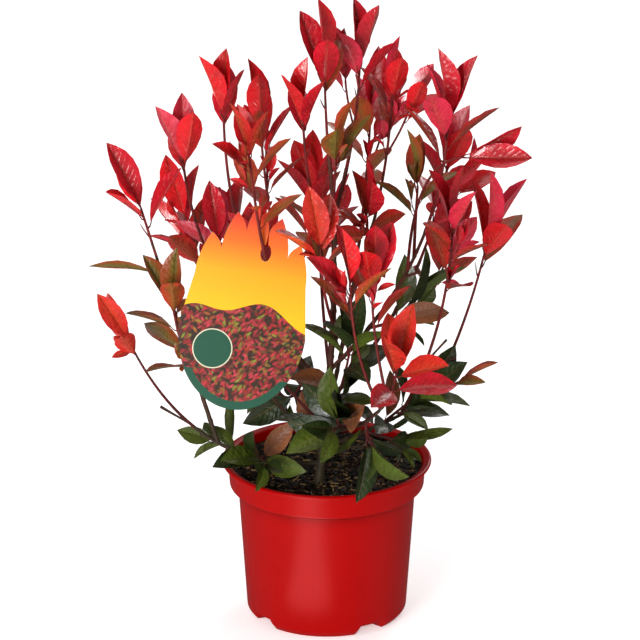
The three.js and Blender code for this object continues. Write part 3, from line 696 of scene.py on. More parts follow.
class Finish:
    """A material whose nodes are added one by one to its Principled shader."""

    def __init__(self, name, roughness, **constants):
        self.material = bpy.data.materials.new(name)
        self.material.use_nodes = True
        self.tree = self.material.node_tree
        self.shader = self.tree.nodes["Principled BSDF"]
        self.set("Roughness", roughness)
        for key, value in constants.items():
            self.set(key.replace("_", " "), value)

    def node(self, kind, settings, values, output=0):
        made = self.tree.nodes.new(kind)
        for key, value in settings.items():
            if key == "stops":
                self.fill_ramp(made.color_ramp, value)
            else:
                setattr(made, key, value)
        for key, value in values.items():
            if isinstance(value, Socket):
                self.tree.links.new(value.link, made.inputs[key])
            else:
                made.inputs[key].default_value = value
        return Socket(self, made.outputs[output])

    def fill_ramp(self, ramp, stops):
        while len(ramp.elements) < len(stops):
            ramp.elements.new(0.5)
        for element, (place, colour) in zip(ramp.elements, stops):
            element.position = place
            element.color = (*colour, 1)

    def place(self):
        return self.node("ShaderNodeTexCoord", {}, {}, "Object")

    def own_map(self, name):
        return self.node("ShaderNodeUVMap", {"uv_map": name}, {})

    def coordinate(self, axis, vector=None):
        """One number of a vector, or of the place on the piece."""
        return self.node("ShaderNodeSeparateXYZ", {}, {0: vector or self.place()}, axis)

    def noise(self, scale, detail=3):
        values = {"Vector": self.place(), "Scale": scale, "Detail": detail}
        return self.node("ShaderNodeTexNoise", {}, values, "Fac")

    def mixed(self, share, one, two):
        """A colour between two colours."""
        def full(value):
            return value if isinstance(value, Socket) else (*value, 1)
        return self.node("ShaderNodeMix", {"data_type": "RGBA"},
                         {0: share, 6: full(one), 7: full(two)}, 2)

    def ramp(self, share, stops):
        return self.node("ShaderNodeValToRGB", {"stops": stops}, {"Fac": share})

    def set(self, name, value):
        if isinstance(value, Socket):
            self.tree.links.new(value.link, self.shader.inputs[name])
        elif isinstance(value, tuple):
            self.shader.inputs[name].default_value = (*value, 1)
        else:
            self.shader.inputs[name].default_value = value

    def bump(self, height, distance, strength):
        values = {"Height": height, "Distance": distance, "Strength": strength}
        self.set("Normal", self.node("ShaderNodeBump", {}, values))


def darker(colour, share):
    return tuple(value * share for value in colour)


def towards(one, two, share):
    return tuple(a + (b - a) * share for a, b in zip(one, two))


def pot_finish(colour, roughness):
    """Satin moulded plastic with faint uneven gloss and scuffs, and painted shade that darkens it under its
    collar.
    """
    finish = Finish("pot_red_plastic", roughness, Specular_IOR_Level=0.2, Specular_Tint=(0.6, 0.28, 0.28))
    broad = finish.noise(14, 2)
    fine = finish.noise(900, 2)
    height = finish.coordinate("Z")
    # Painted shade under the collar: the red darkens towards the collar's underside over a band below the
    # shoulder
    rise = ((height - (POT_SHOULDER_HEIGHT - POT_PAINTED_SHADE) * MM) * (1 / (POT_PAINTED_SHADE * MM))).clamped()
    painted_shade = rise ** 2 * (height < POT_COLLAR_HEIGHT * MM) * 0.6
    red = finish.mixed(broad, darker(colour, 0.86), colour)
    finish.set("Base Color", finish.mixed(painted_shade, red, darker(colour, 0.35)))
    finish.set("Roughness", roughness - 0.12 + 0.08 * broad)
    finish.bump(fine + 3 * broad, 0.0002, 0.25)
    return finish.material


def compost_finish(name, colour, pale, scale):
    """Moist crumbs: dark, with paler fibres."""
    finish = Finish(name, 0.62, Specular_IOR_Level=0.08)
    crumbs = finish.noise(scale, 6)
    patches = finish.noise(scale / 6, 3)
    share = ((crumbs - 0.42) * 4).clamped()
    finish.set("Base Color", finish.mixed(share * patches, colour, pale))
    finish.bump(crumbs, 0.0012, 0.8)
    return finish.material


def wood_finish(name, young, old, scale):
    """Thin bark with fine cracks and small pale pores."""
    finish = Finish(name, 0.6, Specular_IOR_Level=0.2)
    grain = finish.noise(scale, 5)
    pores = ((finish.noise(scale * 2.4, 2) - 0.62) * 14).clamped()
    patches = ((finish.noise(scale / 8, 2) - 0.28) * 4).clamped()
    bark = finish.mixed(patches * ((finish.coordinate("Z") - 0.17) * 7).clamped(), old, young)
    cracked = finish.mixed(grain * 0.5, bark, darker(old, 0.5))
    finish.set("Base Color", finish.mixed(pores * 0.5, cracked, (0.30, 0.19, 0.12)))
    finish.set("Roughness", 0.5 + 0.25 * grain)
    finish.bump(grain + pores, 0.0004, 0.7)
    return finish.material


def leaf_pattern(finish):
    """How far a place is from the midrib, its midrib, its side veins, and its unevenness."""
    blade = finish.own_map("blade")
    side = abs(finish.coordinate("X", blade) - 0.5) * 2
    uneven = finish.noise(55, 3)
    midrib = (1 - side * 13).clamped()
    wave = ((finish.coordinate("Y", blade) * 9 - side * 2.2 + uneven * 0.9) * math.tau).sine() * 0.5 + 0.5
    return side, midrib, wave, uneven


def upper_finish(name, edge, heart, gloss, coat):
    """The upper side: glossy, quilted between its veins, and older in colour along its midrib."""
    finish = Finish(name, gloss, Coat_Weight=coat, Coat_Roughness=0.17, Specular_IOR_Level=0.25)
    side, midrib, wave, uneven = leaf_pattern(finish)
    inner = (1.25 - side * 1.6 + (uneven - 0.5) * 2.4).clamped()
    face = finish.mixed(inner, edge, heart)
    face = finish.mixed(((uneven - 0.52) * 5).clamped() * 0.55, face, darker(edge, 0.45))
    face = finish.mixed(wave ** 8 * (1 - side) * 0.1, face, towards(heart, PALE_VEIN, 0.4))
    finish.set("Base Color", finish.mixed(midrib * 0.4, face, towards(heart, PALE_VEIN, 0.35)))
    finish.set("Roughness", gloss + 0.4 * (FULL_COAT - coat) - 0.06 + 0.2 * uneven)
    quilt = (1 - wave ** 3) * (1 - side * 0.6) * 0.34 + finish.noise(90, 1) * 2.0 - midrib * 0.6
    finish.bump(quilt + finish.noise(230, 0) * 1.1, 0.0009, 0.9)
    return finish.material


def underside_finish(name, colour):
    """The underside: matt and paler, with a raised midrib."""
    finish = Finish(name, 0.6, Specular_IOR_Level=0.12)
    side, midrib, wave, uneven = leaf_pattern(finish)
    face = finish.mixed(((uneven - 0.4) * 3).clamped() * 0.5, colour, darker(colour, 0.62))
    pale = towards(colour, PALE_VEIN, 0.35)
    face = finish.mixed(wave ** 8 * (1 - side) * 0.2, face, pale)
    finish.set("Base Color", finish.mixed(midrib * 0.7, face, pale))
    finish.bump(midrib * 1.2 + wave ** 6 * 0.25 + finish.noise(140, 2) * 0.8, 0.0006, 0.6)
    return finish.material


def card_finish(top, band):
    """The printed face: warm top, leafy lower part, plain roundel and plain band."""
    finish = Finish("tag_print", 0.34, Specular_IOR_Level=0.2)
    card = finish.own_map("card")
    x = (finish.coordinate("X", card) - 0.5) * CARD_MAP
    y = (finish.coordinate("Y", card) - CARD_MAP_RISE) * CARD_MAP
    warm = finish.ramp(((y + 62) / 100).clamped(), (
        (0.0, (0.80, 0.44, 0.005)), (0.42, top), (0.68, (0.76, 0.14, 0.010)), (0.92, (0.62, 0.04, 0.014))))
    leafy = finish.mixed(finish.noise(200, 2), (0.010, 0.008, 0.004), (0.050, 0.020, 0.010))
    for layer in PRINTED_LAYERS:
        leafy = printed_leaves(finish, card, leafy, *layer)
    border = -50 + 5 * (x / 11).sine() - x * x * 0.004
    face = finish.mixed(y < border, warm, leafy)
    across, up = x - ROUNDEL_RIGHT, y - ROUNDEL_UP
    ring = (across * across + up * up).root()
    face = finish.mixed(ring < ROUNDEL_RADIUS + ROUNDEL_EDGE, face, (0.60, 0.58, 0.42))
    face = finish.mixed(ring < ROUNDEL_RADIUS, face, band)
    rise = y - BAND_UP
    bowl = x * x * (1 / TAG_HALF_WIDTH ** 2) + rise * rise * (1 / BAND_HALF_HEIGHT ** 2)
    face = finish.mixed((bowl > 0.80) * (y < BAND_TOP), face, band)
    finish.set("Base Color", face)
    finish.bump(finish.noise(500, 2), 0.00005, 0.3)
    return finish.material


def printed_leaves(finish, card, below, turn, breadths, lengths):
    """A print of leaf blades that lie one way, over what is below."""
    placed = finish.node("ShaderNodeMapping", {"vector_type": "TEXTURE"}, {
        "Vector": card, "Rotation": (0, 0, turn), "Scale": (1 / breadths, 1 / lengths, 1)})
    cell, reach = (finish.node("ShaderNodeTexVoronoi", {}, {"Vector": placed, "Scale": 1.0}, output)
                   for output in ("Color", "Distance"))
    blade = finish.ramp(finish.coordinate("X", cell), (
        (0.0, (0.05, 0.012, 0.010)), (0.2, (0.40, 0.014, 0.020)), (0.42, (0.66, 0.060, 0.080)),
        (0.6, (0.50, 0.014, 0.014)), (0.74, (0.24, 0.30, 0.030)), (0.9, (0.36, 0.020, 0.020)),
        (1.0, (0.030, 0.080, 0.015))))
    shaded = finish.mixed((reach * 1.7).clamped(), blade, (0.020, 0.010, 0.006))
    return finish.mixed(((0.42 - reach) * 9).clamped(), below, shaded)


def card_back():
    finish = Finish("tag_back", 0.5)
    finish.set("Base Color", finish.mixed(finish.noise(300, 2), (0.78, 0.76, 0.72), (0.86, 0.85, 0.82)))
    return finish.material


# Sizes and colours that a user would change


def length_of(name, description, default):
    return bpy.props.FloatProperty(name=name, description=description, default=default, unit="LENGTH")


def colour_of(name, description, default):
    return bpy.props.FloatVectorProperty(name=name, description=description, default=default,
                                         subtype="COLOR")


def share_of(name, description, default):
    return bpy.props.FloatProperty(name=name, description=description, default=default,
                                   subtype="FACTOR", min=0, max=1)


def power_of(name, description, default):
    return bpy.props.FloatProperty(name=name, description=description, default=default, subtype="POWER")


class PotSettings(bpy.types.PropertyGroup):
    rim: length_of("Rim radius", "Radius of the lip", 0.0958)
    height: length_of("Height", "Height of the pot", 0.150)
    colour: colour_of("Colour", "Colour of the plastic", (0.36, 0.0006, 0.0006))
    roughness: share_of("Roughness", "Roughness of the plastic", 0.42)


class CompostSettings(bpy.types.PropertyGroup):
    colour: colour_of("Colour", "Colour of the moist peat", (0.007, 0.004, 0.003))
    bits: bpy.props.IntProperty(name="Bits", description="Chips, fibres and grains on the compost",
                                default=1300, min=0)


class WoodSettings(bpy.types.PropertyGroup):
    relief: length_of("Relief", "Height of the bark's unevenness", 0.0006)
    young: colour_of("Young bark", "Colour of the young bark", (0.135, 0.021, 0.014))
    old: colour_of("Old bark", "Colour of the old bark", (0.030, 0.022, 0.009))


class LeafSettings(bpy.types.PropertyGroup):
    fold: bpy.props.FloatProperty(name="Fold", description="Rise of the edges for each unit of width",
                                  default=0.42)
    thickness: length_of("Thickness", "Thickness at the midrib", 0.0005)
    gloss: share_of("Upper roughness", "Roughness of the upper side", 0.24)


class TagSettings(bpy.types.PropertyGroup):
    thickness: length_of("Thickness", "Thickness of the card", 0.0008)
    top: colour_of("Top colour", "Colour of the card's middle top", (0.80, 0.33, 0.006))
    band: colour_of("Band colour", "Colour of the band and roundel", (0.008, 0.070, 0.038))


class StudioSettings(bpy.types.PropertyGroup):
    elevation: bpy.props.FloatProperty(name="Elevation", description="Camera height above level",
                                       default=math.radians(21), subtype="ANGLE")
    distance: length_of("Distance", "Camera distance", 6.0)
    span: length_of("Span", "Width that the view takes in at the plant", 0.5805)
    key: power_of("Key light", "Power of the key light", 46.0)
    overhead: power_of("Overhead light", "Power of the wide overhead light", 44.0)


# Pieces


class PHOTINIA_OT_pot(bpy.types.Operator):
    """Makes the moulded pot with its rolled lip, collar and four recesses at the foot"""

    bl_idname = "photinia.pot"
    bl_label = "Pot"

    def execute(self, context):
        settings = context.scene.photinia_pot
        rim, height = settings.rim / MM, settings.height / MM
        spread = POT_COLLAR + POT_COLLAR_SPREAD
        outline = (
            (40, 0), (POT_FOOT_FLAT, 0), (POT_FOOT, 6), (POT_SHOULDER, POT_SHOULDER_HEIGHT),
            (POT_COLLAR, POT_COLLAR_HEIGHT), (spread, POT_LIP_HEIGHT), (rim - 0.5, POT_LIP_HEIGHT + 0.8),
            (rim, height - 2), (rim - 0.9, height - 0.5), (rim - 2.6, height),
            (spread - POT_WALL, height - 2), (POT_COLLAR - POT_WALL, POT_COLLAR_HEIGHT + POT_WALL),
            (POT_SHOULDER - POT_WALL, POT_SHOULDER_HEIGHT + POT_WALL),
            (POT_FOOT - POT_WALL, POT_LEDGE_HEIGHT + 4), (POT_FOOT_FLAT, POT_LEDGE_HEIGHT),
            (POT_LEDGE, POT_LEDGE_HEIGHT), (POT_LEDGE - 6, POT_FLOOR), (30, POT_FLOOR),
        )
        pot = turned(rounded(outline, POT_ROUNDING, ROUNDING_STEPS), POT_SIDES)
        for vertex in pot.data.vertices:
            x, y, z = vertex.co / MM
            off = abs((math.degrees(math.atan2(y, x)) - RECESS_HEADING + 45) % 90 - 45)
            reach = math.hypot(x, y)
            if z < RECESS_FADE and reach > RECESS_START:
                side = within(0, (RECESS_HALF_ANGLE - off) / RECESS_BLEND + 0.5, 1)
                outer = within(0, (reach - RECESS_START) / RECESS_BLEND, 1)
                vertex.co.z += RECESS_HEIGHT * MM * side * outer * (1 - z / RECESS_FADE)
        smooth(pot, 50)
        finish_piece(pot, "pot_shell", "pot_plastic",
                     [pot_finish(tuple(settings.colour), settings.roughness)], ["pot"])
        return {"FINISHED"}


class PHOTINIA_OT_compost(bpy.types.Operator):
    """Makes the uneven compost and the chips, fibres and grains that lie on it"""

    bl_idname = "photinia.compost"
    bl_label = "Compost"

    def execute(self, context):
        settings = context.scene.photinia_compost
        top = [(COMPOST_BRIM - COMPOST_RING_STEP * i,
                GROUND_EDGE + (GROUND - GROUND_EDGE) * min(i / COMPOST_EDGE_RINGS, 1))
               for i in range(COMPOST_RINGS)]
        compost = turned([(r * MM, z * MM) for r, z in (*COMPOST_FLANK, *top)], COMPOST_SIDES)
        group = compost.vertex_groups.new(name="top")
        group.add([v.index for v in compost.data.vertices
                   if v.co.z > TOP_FROM * MM and math.hypot(v.co.x, v.co.y) < TOP_REACH * MM],
                  1, "REPLACE")
        for pattern, scale, strength in (("clods", 0.012, 0.0060), ("crumbs", 0.0035, 0.0030)):
            relief(compost, pattern, scale, strength, 2, direction="Z", vertex_group="top", mid_level=0.55)
        smooth(compost, 60)
        peat = compost_finish("compost_peat", tuple(settings.colour), (0.045, 0.024, 0.013), 420)
        finish_piece(compost, "compost_surface", "compost", [peat], ["compost"])
        self.scatter(settings.bits)
        return {"FINISHED"}

    def scatter(self, count):
        """Chips of bark, fibres of straw and pale grains, each kind one piece."""
        draw = draws_from(BITS_SEED)
        for name, (share, lengths, widths, depths, dark, pale) in BITS.items():
            points, faces = [], []
            for _ in range(round(count * share)):
                size = [low + (high - low) * next(draw) ** BIT_SKEW
                        for low, high in (lengths, widths, depths)]
                reach = (BIT_REACH - size[0] / 2) * math.sqrt(next(draw))
                heading, spin = math.tau * next(draw), math.tau * next(draw)
                tip = BIT_TIP * (next(draw) - 0.5)
                if name == "pale_grains" and next(draw) < GRAINS_OUT:
                    reach = GRAIN_REACH + GRAIN_BAND * reach
                ground = GROUND - (GROUND - GROUND_EDGE) * within(0, (reach - EDGE_FROM) / EDGE_WIDTH, 1)
                middle = Vector((reach * math.cos(heading), reach * math.sin(heading), ground + BIT_RISE))
                turn = Quaternion(UP, spin) @ Quaternion((0, 1, 0), tip)
                start = len(points)
                points += [(middle + turn @ corner) * MM for corner in self.bit_corners(size, draw)]
                one, two = ([start + side + i for i in range(BIT_SIDES)] for side in (0, BIT_SIDES))
                faces += zip(one, two, two[1:] + two[:1], one[1:] + one[:1])
                faces += [one, two[::-1]]
            bits = point_mesh(name, points, faces)
            finish_piece(bits, name, "compost", [compost_finish(name, dark, pale, 260)], [])

    def bit_corners(self, size, draw):
        """The corners of a bit's two uneven ends."""
        for end in (-1, 1):
            for corner in range(BIT_SIDES):
                angle = math.tau * corner / BIT_SIDES
                narrow = (BIT_LEAST + BIT_PLAY * next(draw)) / 2
                lift = BIT_SLANT * size[0] * (next(draw) - 0.5)
                yield Vector((end * size[0] / 2, math.cos(angle) * size[1] * narrow,
                              math.sin(angle) * size[2] * narrow + lift))


class PHOTINIA_OT_wood(bpy.types.Operator):
    """Makes the trunk and boughs with the bark's relief and leaf scars"""

    bl_idname = "photinia.wood"
    bl_label = "Wood"

    def execute(self, context):
        settings = context.scene.photinia_wood
        limbs = plant()[0]
        noise.seed_set(WANDER_SEED)
        runs = [self.run(limb, number) for number, limb in enumerate(limbs.values()) if limb.bare > 0]
        runs += [self.stub(limbs, *stub) for stub in STUBS]
        wood = tubes(runs, 3)
        relief(wood, "bark", 0.0022, settings.relief)
        relief(wood, "knots", 0.009, settings.relief * 1.2)
        smooth(wood, 60)
        nodes = [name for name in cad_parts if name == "trunk" or name.startswith("bough_")]
        bark = wood_finish("young_bark", tuple(settings.young), tuple(settings.old), 900)
        finish_piece(wood, "trunk_and_boughs", "bark", [bark], nodes)
        return {"FINISHED"}

    def run(self, limb, number):
        """A limb's points and radii, swollen at the scars of its fallen leaves."""
        path, bare, radius = limb.path, limb.bare, limb.radius
        steps = max(round(path.length * bare / BARK_STEP), 2)
        scar = SCAR_SPACINGS[number % len(SCAR_SPACINGS)]
        run = []
        for i in range(steps + 1):
            t = bare * i / steps
            along = path.length * t
            near = abs((along + scar / 2) % scar - scar / 2)
            swell = 1 + SCAR_SWELL * math.exp(-(near / SCAR_REACH) ** 2)
            wander = noise.noise_vector(Vector((along * WANDER_RATE, number * LIMB_OFFSET, 0)))
            wander *= WANDER * min(along / WANDER_START, 1) * math.sin(math.pi * i / steps)
            run.append((path.point(t) + wander, radius(t) * swell))
        return run

    def stub(self, limbs, name, at, opening, heading, length):
        """A pruned side shoot, cut square at its swollen end."""
        path, radius = limbs[name].path, limbs[name].radius(at) * STUB_WIDTH
        out = opened(path.tangent(at), opening, heading)
        return [(path.point(at) + out * (length * i / STUB_STEPS),
                 radius * (STUB_SWELL if i == STUB_STEPS else 1)) for i in range(STUB_STEPS + 1)]


class PHOTINIA_OT_leaves(bpy.types.Operator):
    """Makes the twigs, leaf stalks and folded leaves of every mass, joined by tint"""

    bl_idname = "photinia.leaves"
    bl_label = "Twigs and leaves"

    def execute(self, context):
        settings = context.scene.photinia_leaf
        limbs, stems, leaves = plant()
        kept = fitted(limbs, stems, [leaf for leaf in leaves if stays(leaf)])
        for leaf in kept:
            if leaf.node in SLENDER_MASSES:
                shorter, narrower = SLENDER[leaf.rank % len(SLENDER)]
                leaf.length *= shorter
                leaf.width *= narrower
        kept.append(stray_leaf(limbs[STRAY_LIMB].path))
        self.twigs(stems, kept)
        groups = {tint: [] for tint in TINTS}
        for leaf in kept:
            groups[tint_of(leaf)].append(leaf)
        for tint, members in groups.items():
            edge, heart, under, slot, coat = TINTS[tint]
            self.blades(f"leaves_{tint}_tint", members, settings, slot, [
                upper_finish(f"leaf_{tint}_upper", edge, heart, settings.gloss, coat),
                underside_finish(f"leaf_{tint}_underside", under)])
        return {"FINISHED"}

    def twigs(self, stems, leaves):
        runs = []
        for stem in stems:
            path, start = stem.path, stem.start
            steps = max(round(path.length * (1 - start) / TWIG_STEP), TWIG_LEAST_STEPS)
            shares = [start + (1 - start) * i / steps for i in range(steps + 1)]
            runs.append([(path.point(t), stem.radius(t) * (1 if t < 1 else TWIG_END))
                         for t in shares])
        for leaf in leaves:
            reach = leaf.along * (leaf.length * (STALK_SHARE + STALK_OVERLAP))
            sag = leaf.facing * (-STALK_SAG * leaf.length)
            runs.append([(leaf.root + reach * share + sag * sunk, width * leaf.girth)
                         for share, sunk, width in STALK_ROWS])
        twigs = tubes(runs, 1)
        smooth(twigs, 60)
        finish_piece(twigs, "twigs_and_stalks", "bark",
                     [wood_finish("red_twig", (0.24, 0.012, 0.012), (0.060, 0.012, 0.009), 1100)],
                     sorted({stem.node for stem in stems}))

    def blades(self, name, leaves, settings, slot, materials):
        points, faces, sides, corners = [], [], [], []
        for leaf in leaves:
            start = len(points)
            points += [place * MM for place in blade_points(leaf, settings.fold, settings.thickness / MM)]
            for face, side, corner in BLADE_FACES:
                faces.append(tuple(start + index for index in face))
                sides.append(side)
                corners += corner
        piece = point_mesh(name, points, faces, sides, corners)
        smooth(piece, 62)
        finish_piece(piece, name, slot, materials, sorted({leaf.node for leaf in leaves}))


class PHOTINIA_OT_tag(bpy.types.Operator):
    """Makes the hang tag: a card with a crown of points, printed with plain generic motifs"""

    bl_idname = "photinia.tag"
    bl_label = "Hang tag"

    def execute(self, context):
        settings = context.scene.photinia_tag
        card = from_curves([[(corner.to_3d(), 1) for corner in card_outline()]], "2D", True,
                           fill_mode="BOTH", extrude=settings.thickness / 2)
        while card.data.uv_layers:
            card.data.uv_layers.remove(card.data.uv_layers[0])
        layer = card.data.uv_layers.new(name="card")
        for loop in card.data.loops:
            x, y, _ = card.data.vertices[loop.vertex_index].co / MM / CARD_MAP
            layer.data[loop.index].uv = (x - TAG_OFFSET / CARD_MAP + 0.5, y + CARD_MAP_RISE)
        finish_piece(card, "hang_tag", "tag_card",
                     [card_finish(tuple(settings.top), tuple(settings.band)), card_back()], ["tag"])
        for face in card.data.polygons:
            face.material_index = 0 if face.normal.z > 0.5 else 1
        card.data.transform(tag_place(plant()[0]["tag_twig"].path))
        return {"FINISHED"}


class PHOTINIA_OT_studio(bpy.types.Operator):
    """Makes the pale floor, the soft lights and the camera"""

    bl_idname = "photinia.studio"
    bl_label = "Studio"

    def execute(self, context):
        settings, scene = context.scene.photinia_studio, context.scene
        bpy.ops.mesh.primitive_plane_add(size=FLOOR_SIZE, location=(0, 0, 0))
        floor = bpy.context.object
        floor.name = "floor"
        pale = Finish("pale_floor", 0.9, Base_Color=(0.92, 0.92, 0.92), Emission_Color=(1, 1, 1),
                      Emission_Strength=0.45)
        floor.data.materials.append(pale.material)
        floor.visible_glossy = False
        for name, place, size, source, share in LIGHTS:
            self.softbox(name, place, size, getattr(settings, source) * share)
        for name in ("gloss_strip", "pot_gloss"):
            bpy.data.objects[name].visible_diffuse = False
        bpy.data.objects["pot_gloss"].rotation_euler = (math.pi, 0, math.radians(POT_GLOSS_TURN))
        bpy.data.objects["fill_light"].visible_glossy = False
        world = bpy.data.worlds.new("studio_air")
        world.use_nodes = True
        air = world.node_tree.nodes["Background"]
        air.inputs["Color"].default_value = (1, 1, 1, 1)
        air.inputs["Strength"].default_value = AIR_STRENGTH
        scene.world = world
        scene.view_settings.view_transform = "Standard"
        back = Vector((0, -math.cos(settings.elevation), math.sin(settings.elevation)))
        camera = bpy.data.objects.new("camera", bpy.data.cameras.new("camera"))
        scene.collection.objects.link(camera)
        camera.location = Vector(VIEW_CENTRE) * MM + back * settings.distance
        camera.rotation_euler = (-back).to_track_quat("-Z", "Y").to_euler()
        camera.data.sensor_width = SENSOR
        camera.data.lens = SENSOR * settings.distance / settings.span
        camera.data.clip_end = FARTHEST
        scene.camera = camera
        return {"FINISHED"}

    def softbox(self, name, place, size, power):
        bpy.ops.object.light_add(type="AREA", location=place)
        light = bpy.context.object
        light.name = name
        light.data.shape = "RECTANGLE"
        light.data.size, light.data.size_y = size
        light.data.energy = power
        light.visible_camera = False
        light.rotation_euler = (Vector(LIT_POINT) - Vector(place)).to_track_quat("-Z", "Y").to_euler()


class PHOTINIA_PT_panel(bpy.types.Panel):
    """Lists the pieces and their settings"""

    bl_label = "Photinia"
    bl_idname = "PHOTINIA_PT_panel"
    bl_space_type = "VIEW_3D"
    bl_region_type = "UI"
    bl_category = "Photinia"

    def draw(self, context):
        for name, operator, group in MAKERS:
            box = self.layout.box()
            box.operator(operator.bl_idname)
            for key in group.__annotations__:
                box.prop(getattr(context.scene, name), key)


# Leaves: how they are fitted between their neighbours, and their blades


def plant():
    """The grown plant, worked out once."""
    if not GROWN:
        GROWN.extend(grown())
    return GROWN


def stays(leaf):
    """Whether a leaf is on the leafy end of its shoot, where the stem below is bare."""
    leafy = OPEN_BELOW.get(leaf.node)
    return leafy is None or (leaf.rank < leafy and leaf.length > SPRIG_LEAF_LENGTH)


def stray_leaf(path):
    """The long thin leaf that grows by itself."""
    leaf = Part(**STRAY, root=path.point(STRAY_AT), tangent=path.tangent(STRAY_AT))
    set_out(leaf, 0)
    return leaf


def tint_of(leaf):
    """A leaf's tint, dealt out by its mass, its kind and how far down its shoot it grows."""
    number, rank = leaf.number, leaf.rank
    if leaf.node == PALE_MASS:
        return "moss"
    if leaf.kind == "green" and rank >= YOUNG_RANKS and (number + rank) % WITHERED_EVERY == 0:
        return "withered"
    if leaf.node in FLAME_MASSES and rank < YOUNG_RANKS:
        return "flame"
    names = (YOUNG if rank < YOUNG_RANKS else OLD)[leaf.kind]
    return names[(number + (rank > 1)) % len(names)]


def set_out(leaf, shift):
    """Points a leaf along its direction, turned round its stem by a shift in degrees."""
    tangent, around = leaf.tangent, leaf.around + shift
    along = opened(tangent, leaf.open, around)
    facing = -opened(tangent, leaf.open + 90, around)
    leaf.along = along
    leaf.facing = Quaternion(along, leaf.twist) @ facing


def leaf_middle(leaf, t):
    """The point at a share of a leaf's length along its arching midrib."""
    length = leaf.length
    return leaf.root + leaf.along * (t * length) - leaf.facing * (leaf.arch * length * t * t)


def leaf_sheet(leaf):
    """A leaf's blade in six faces, for telling what it would cross."""
    across = leaf.along.cross(leaf.facing)
    rows, faces = [], []
    for t, half in SHEET_ROWS:
        middle, half = leaf_middle(leaf, t), half * leaf.width
        rise, side = leaf.facing * (SHEET_RISE * half), across * half
        rows += [middle - side + rise, middle, middle + side + rise]
    for i in range(0, len(rows) - 3, 3):
        faces += [(i, i + 1, i + 4, i + 3), (i + 1, i + 2, i + 5, i + 4)]
    return rows, faces


def limb_sheet(path, start, end, radius):
    """Two crossed ribbons along a limb, for telling what crosses it."""
    rows, faces = [], []
    for i in range(RIBBON_STEPS + 1):
        t = start + (end - start) * i / RIBBON_STEPS
        middle, tangent = path.point(t), path.tangent(t)
        side = tangent.cross(Vector((0, 1, 0))).normalized() * radius(t)
        other = tangent.cross(side).normalized() * radius(t)
        rows += [middle - side, middle + side, middle - other, middle + other]
    for i in range(0, 4 * RIBBON_STEPS, 4):
        faces += [(i, i + 1, i + 5, i + 4), (i + 2, i + 3, i + 7, i + 6)]
    return rows, faces


def box_of(points):
    return [[end(point[i] for point in points) for i in range(3)] for end in (min, max)]


def boxes_meet(one, two):
    return all(one[0][i] < two[1][i] and two[0][i] < one[1][i] for i in range(3))


def passes(path, root):
    """Whether a stem is the one that a leaf is rooted on."""
    return path is not None and min(
        (path.point(i / ROOT_STEPS) - root).length for i in range(ROOT_STEPS + 1)) < ROOT_REACH


def fitted(limbs, stems, leaves):
    """The leaves that have room, the topmost of every mass first, each turned to where it is free."""
    hang = tag_place(limbs["tag_twig"].path)
    card = [hang @ (corner.to_3d() * MM) / MM for corner in card_outline()]
    sheets = [(None, *limb_sheet(limb.path, 0, limb.bare, limb.radius))
              for limb in limbs.values() if limb.bare > 0]
    sheets += [(stem.path, *limb_sheet(stem.path, stem.start, 1, stem.radius)) for stem in stems]
    sheets.append((None, card, [tuple(range(len(card)))]))
    taken = [(owner, box_of(points), BVHTree.FromPolygons(points, faces)) for owner, points, faces in sheets]
    kept = []
    for leaf in sorted(leaves, key=lambda one: (one.rank, -one.length)):
        for shift in LEAF_SHIFTS:
            set_out(leaf, shift)
            points, faces = leaf_sheet(leaf)
            box, tree = box_of(points), BVHTree.FromPolygons(points, faces)
            if box[0][2] >= LOWEST_LEAF and not any(
                    boxes_meet(box, other) and tree.overlap(sheet) and not passes(owner, leaf.root)
                    for owner, other, sheet in taken):
                taken.append((None, box, tree))
                leaf.girth = within(GIRTHS[0], leaf.length / GIRTH_LENGTH, GIRTHS[1])
                kept.append(leaf)
                break
    return kept


def blade_faces():
    """A blade's faces, each with its side (0 upper, 1 under) and its corners on the leaf map."""
    last, columns = len(BLADE_ROWS) - 1, BLADE_COLUMNS
    tip = columns * last
    upper = [[columns * i + j for j in range(columns)] for i in range(last)]
    under = [[row[0], *(tip + 1 + (columns - 2) * i + j for j in range(columns - 2)), row[-1]]
             for i, row in enumerate(upper)]
    spots = {tip: (0.5, 1)}
    faces = []
    for side, rows in enumerate((upper, under)):
        for (t, _), row in zip(BLADE_ROWS, rows):
            spots.update({index: (j / (columns - 1), t) for j, index in enumerate(row)})
        for j in range(columns - 1):
            for low, high in zip(rows, rows[1:]):
                faces.append((side, (low[j], low[j + 1], high[j + 1], high[j])))
            faces.append((side, (rows[-1][j], rows[-1][j + 1], tip)))
    faces.append((1, (*upper[0], *reversed(under[0][1:-1]))))
    made = []
    for side, face in faces:
        outwards = face[::-1] if side else face
        made.append((outwards, side, [spots[index] for index in outwards]))
    return made


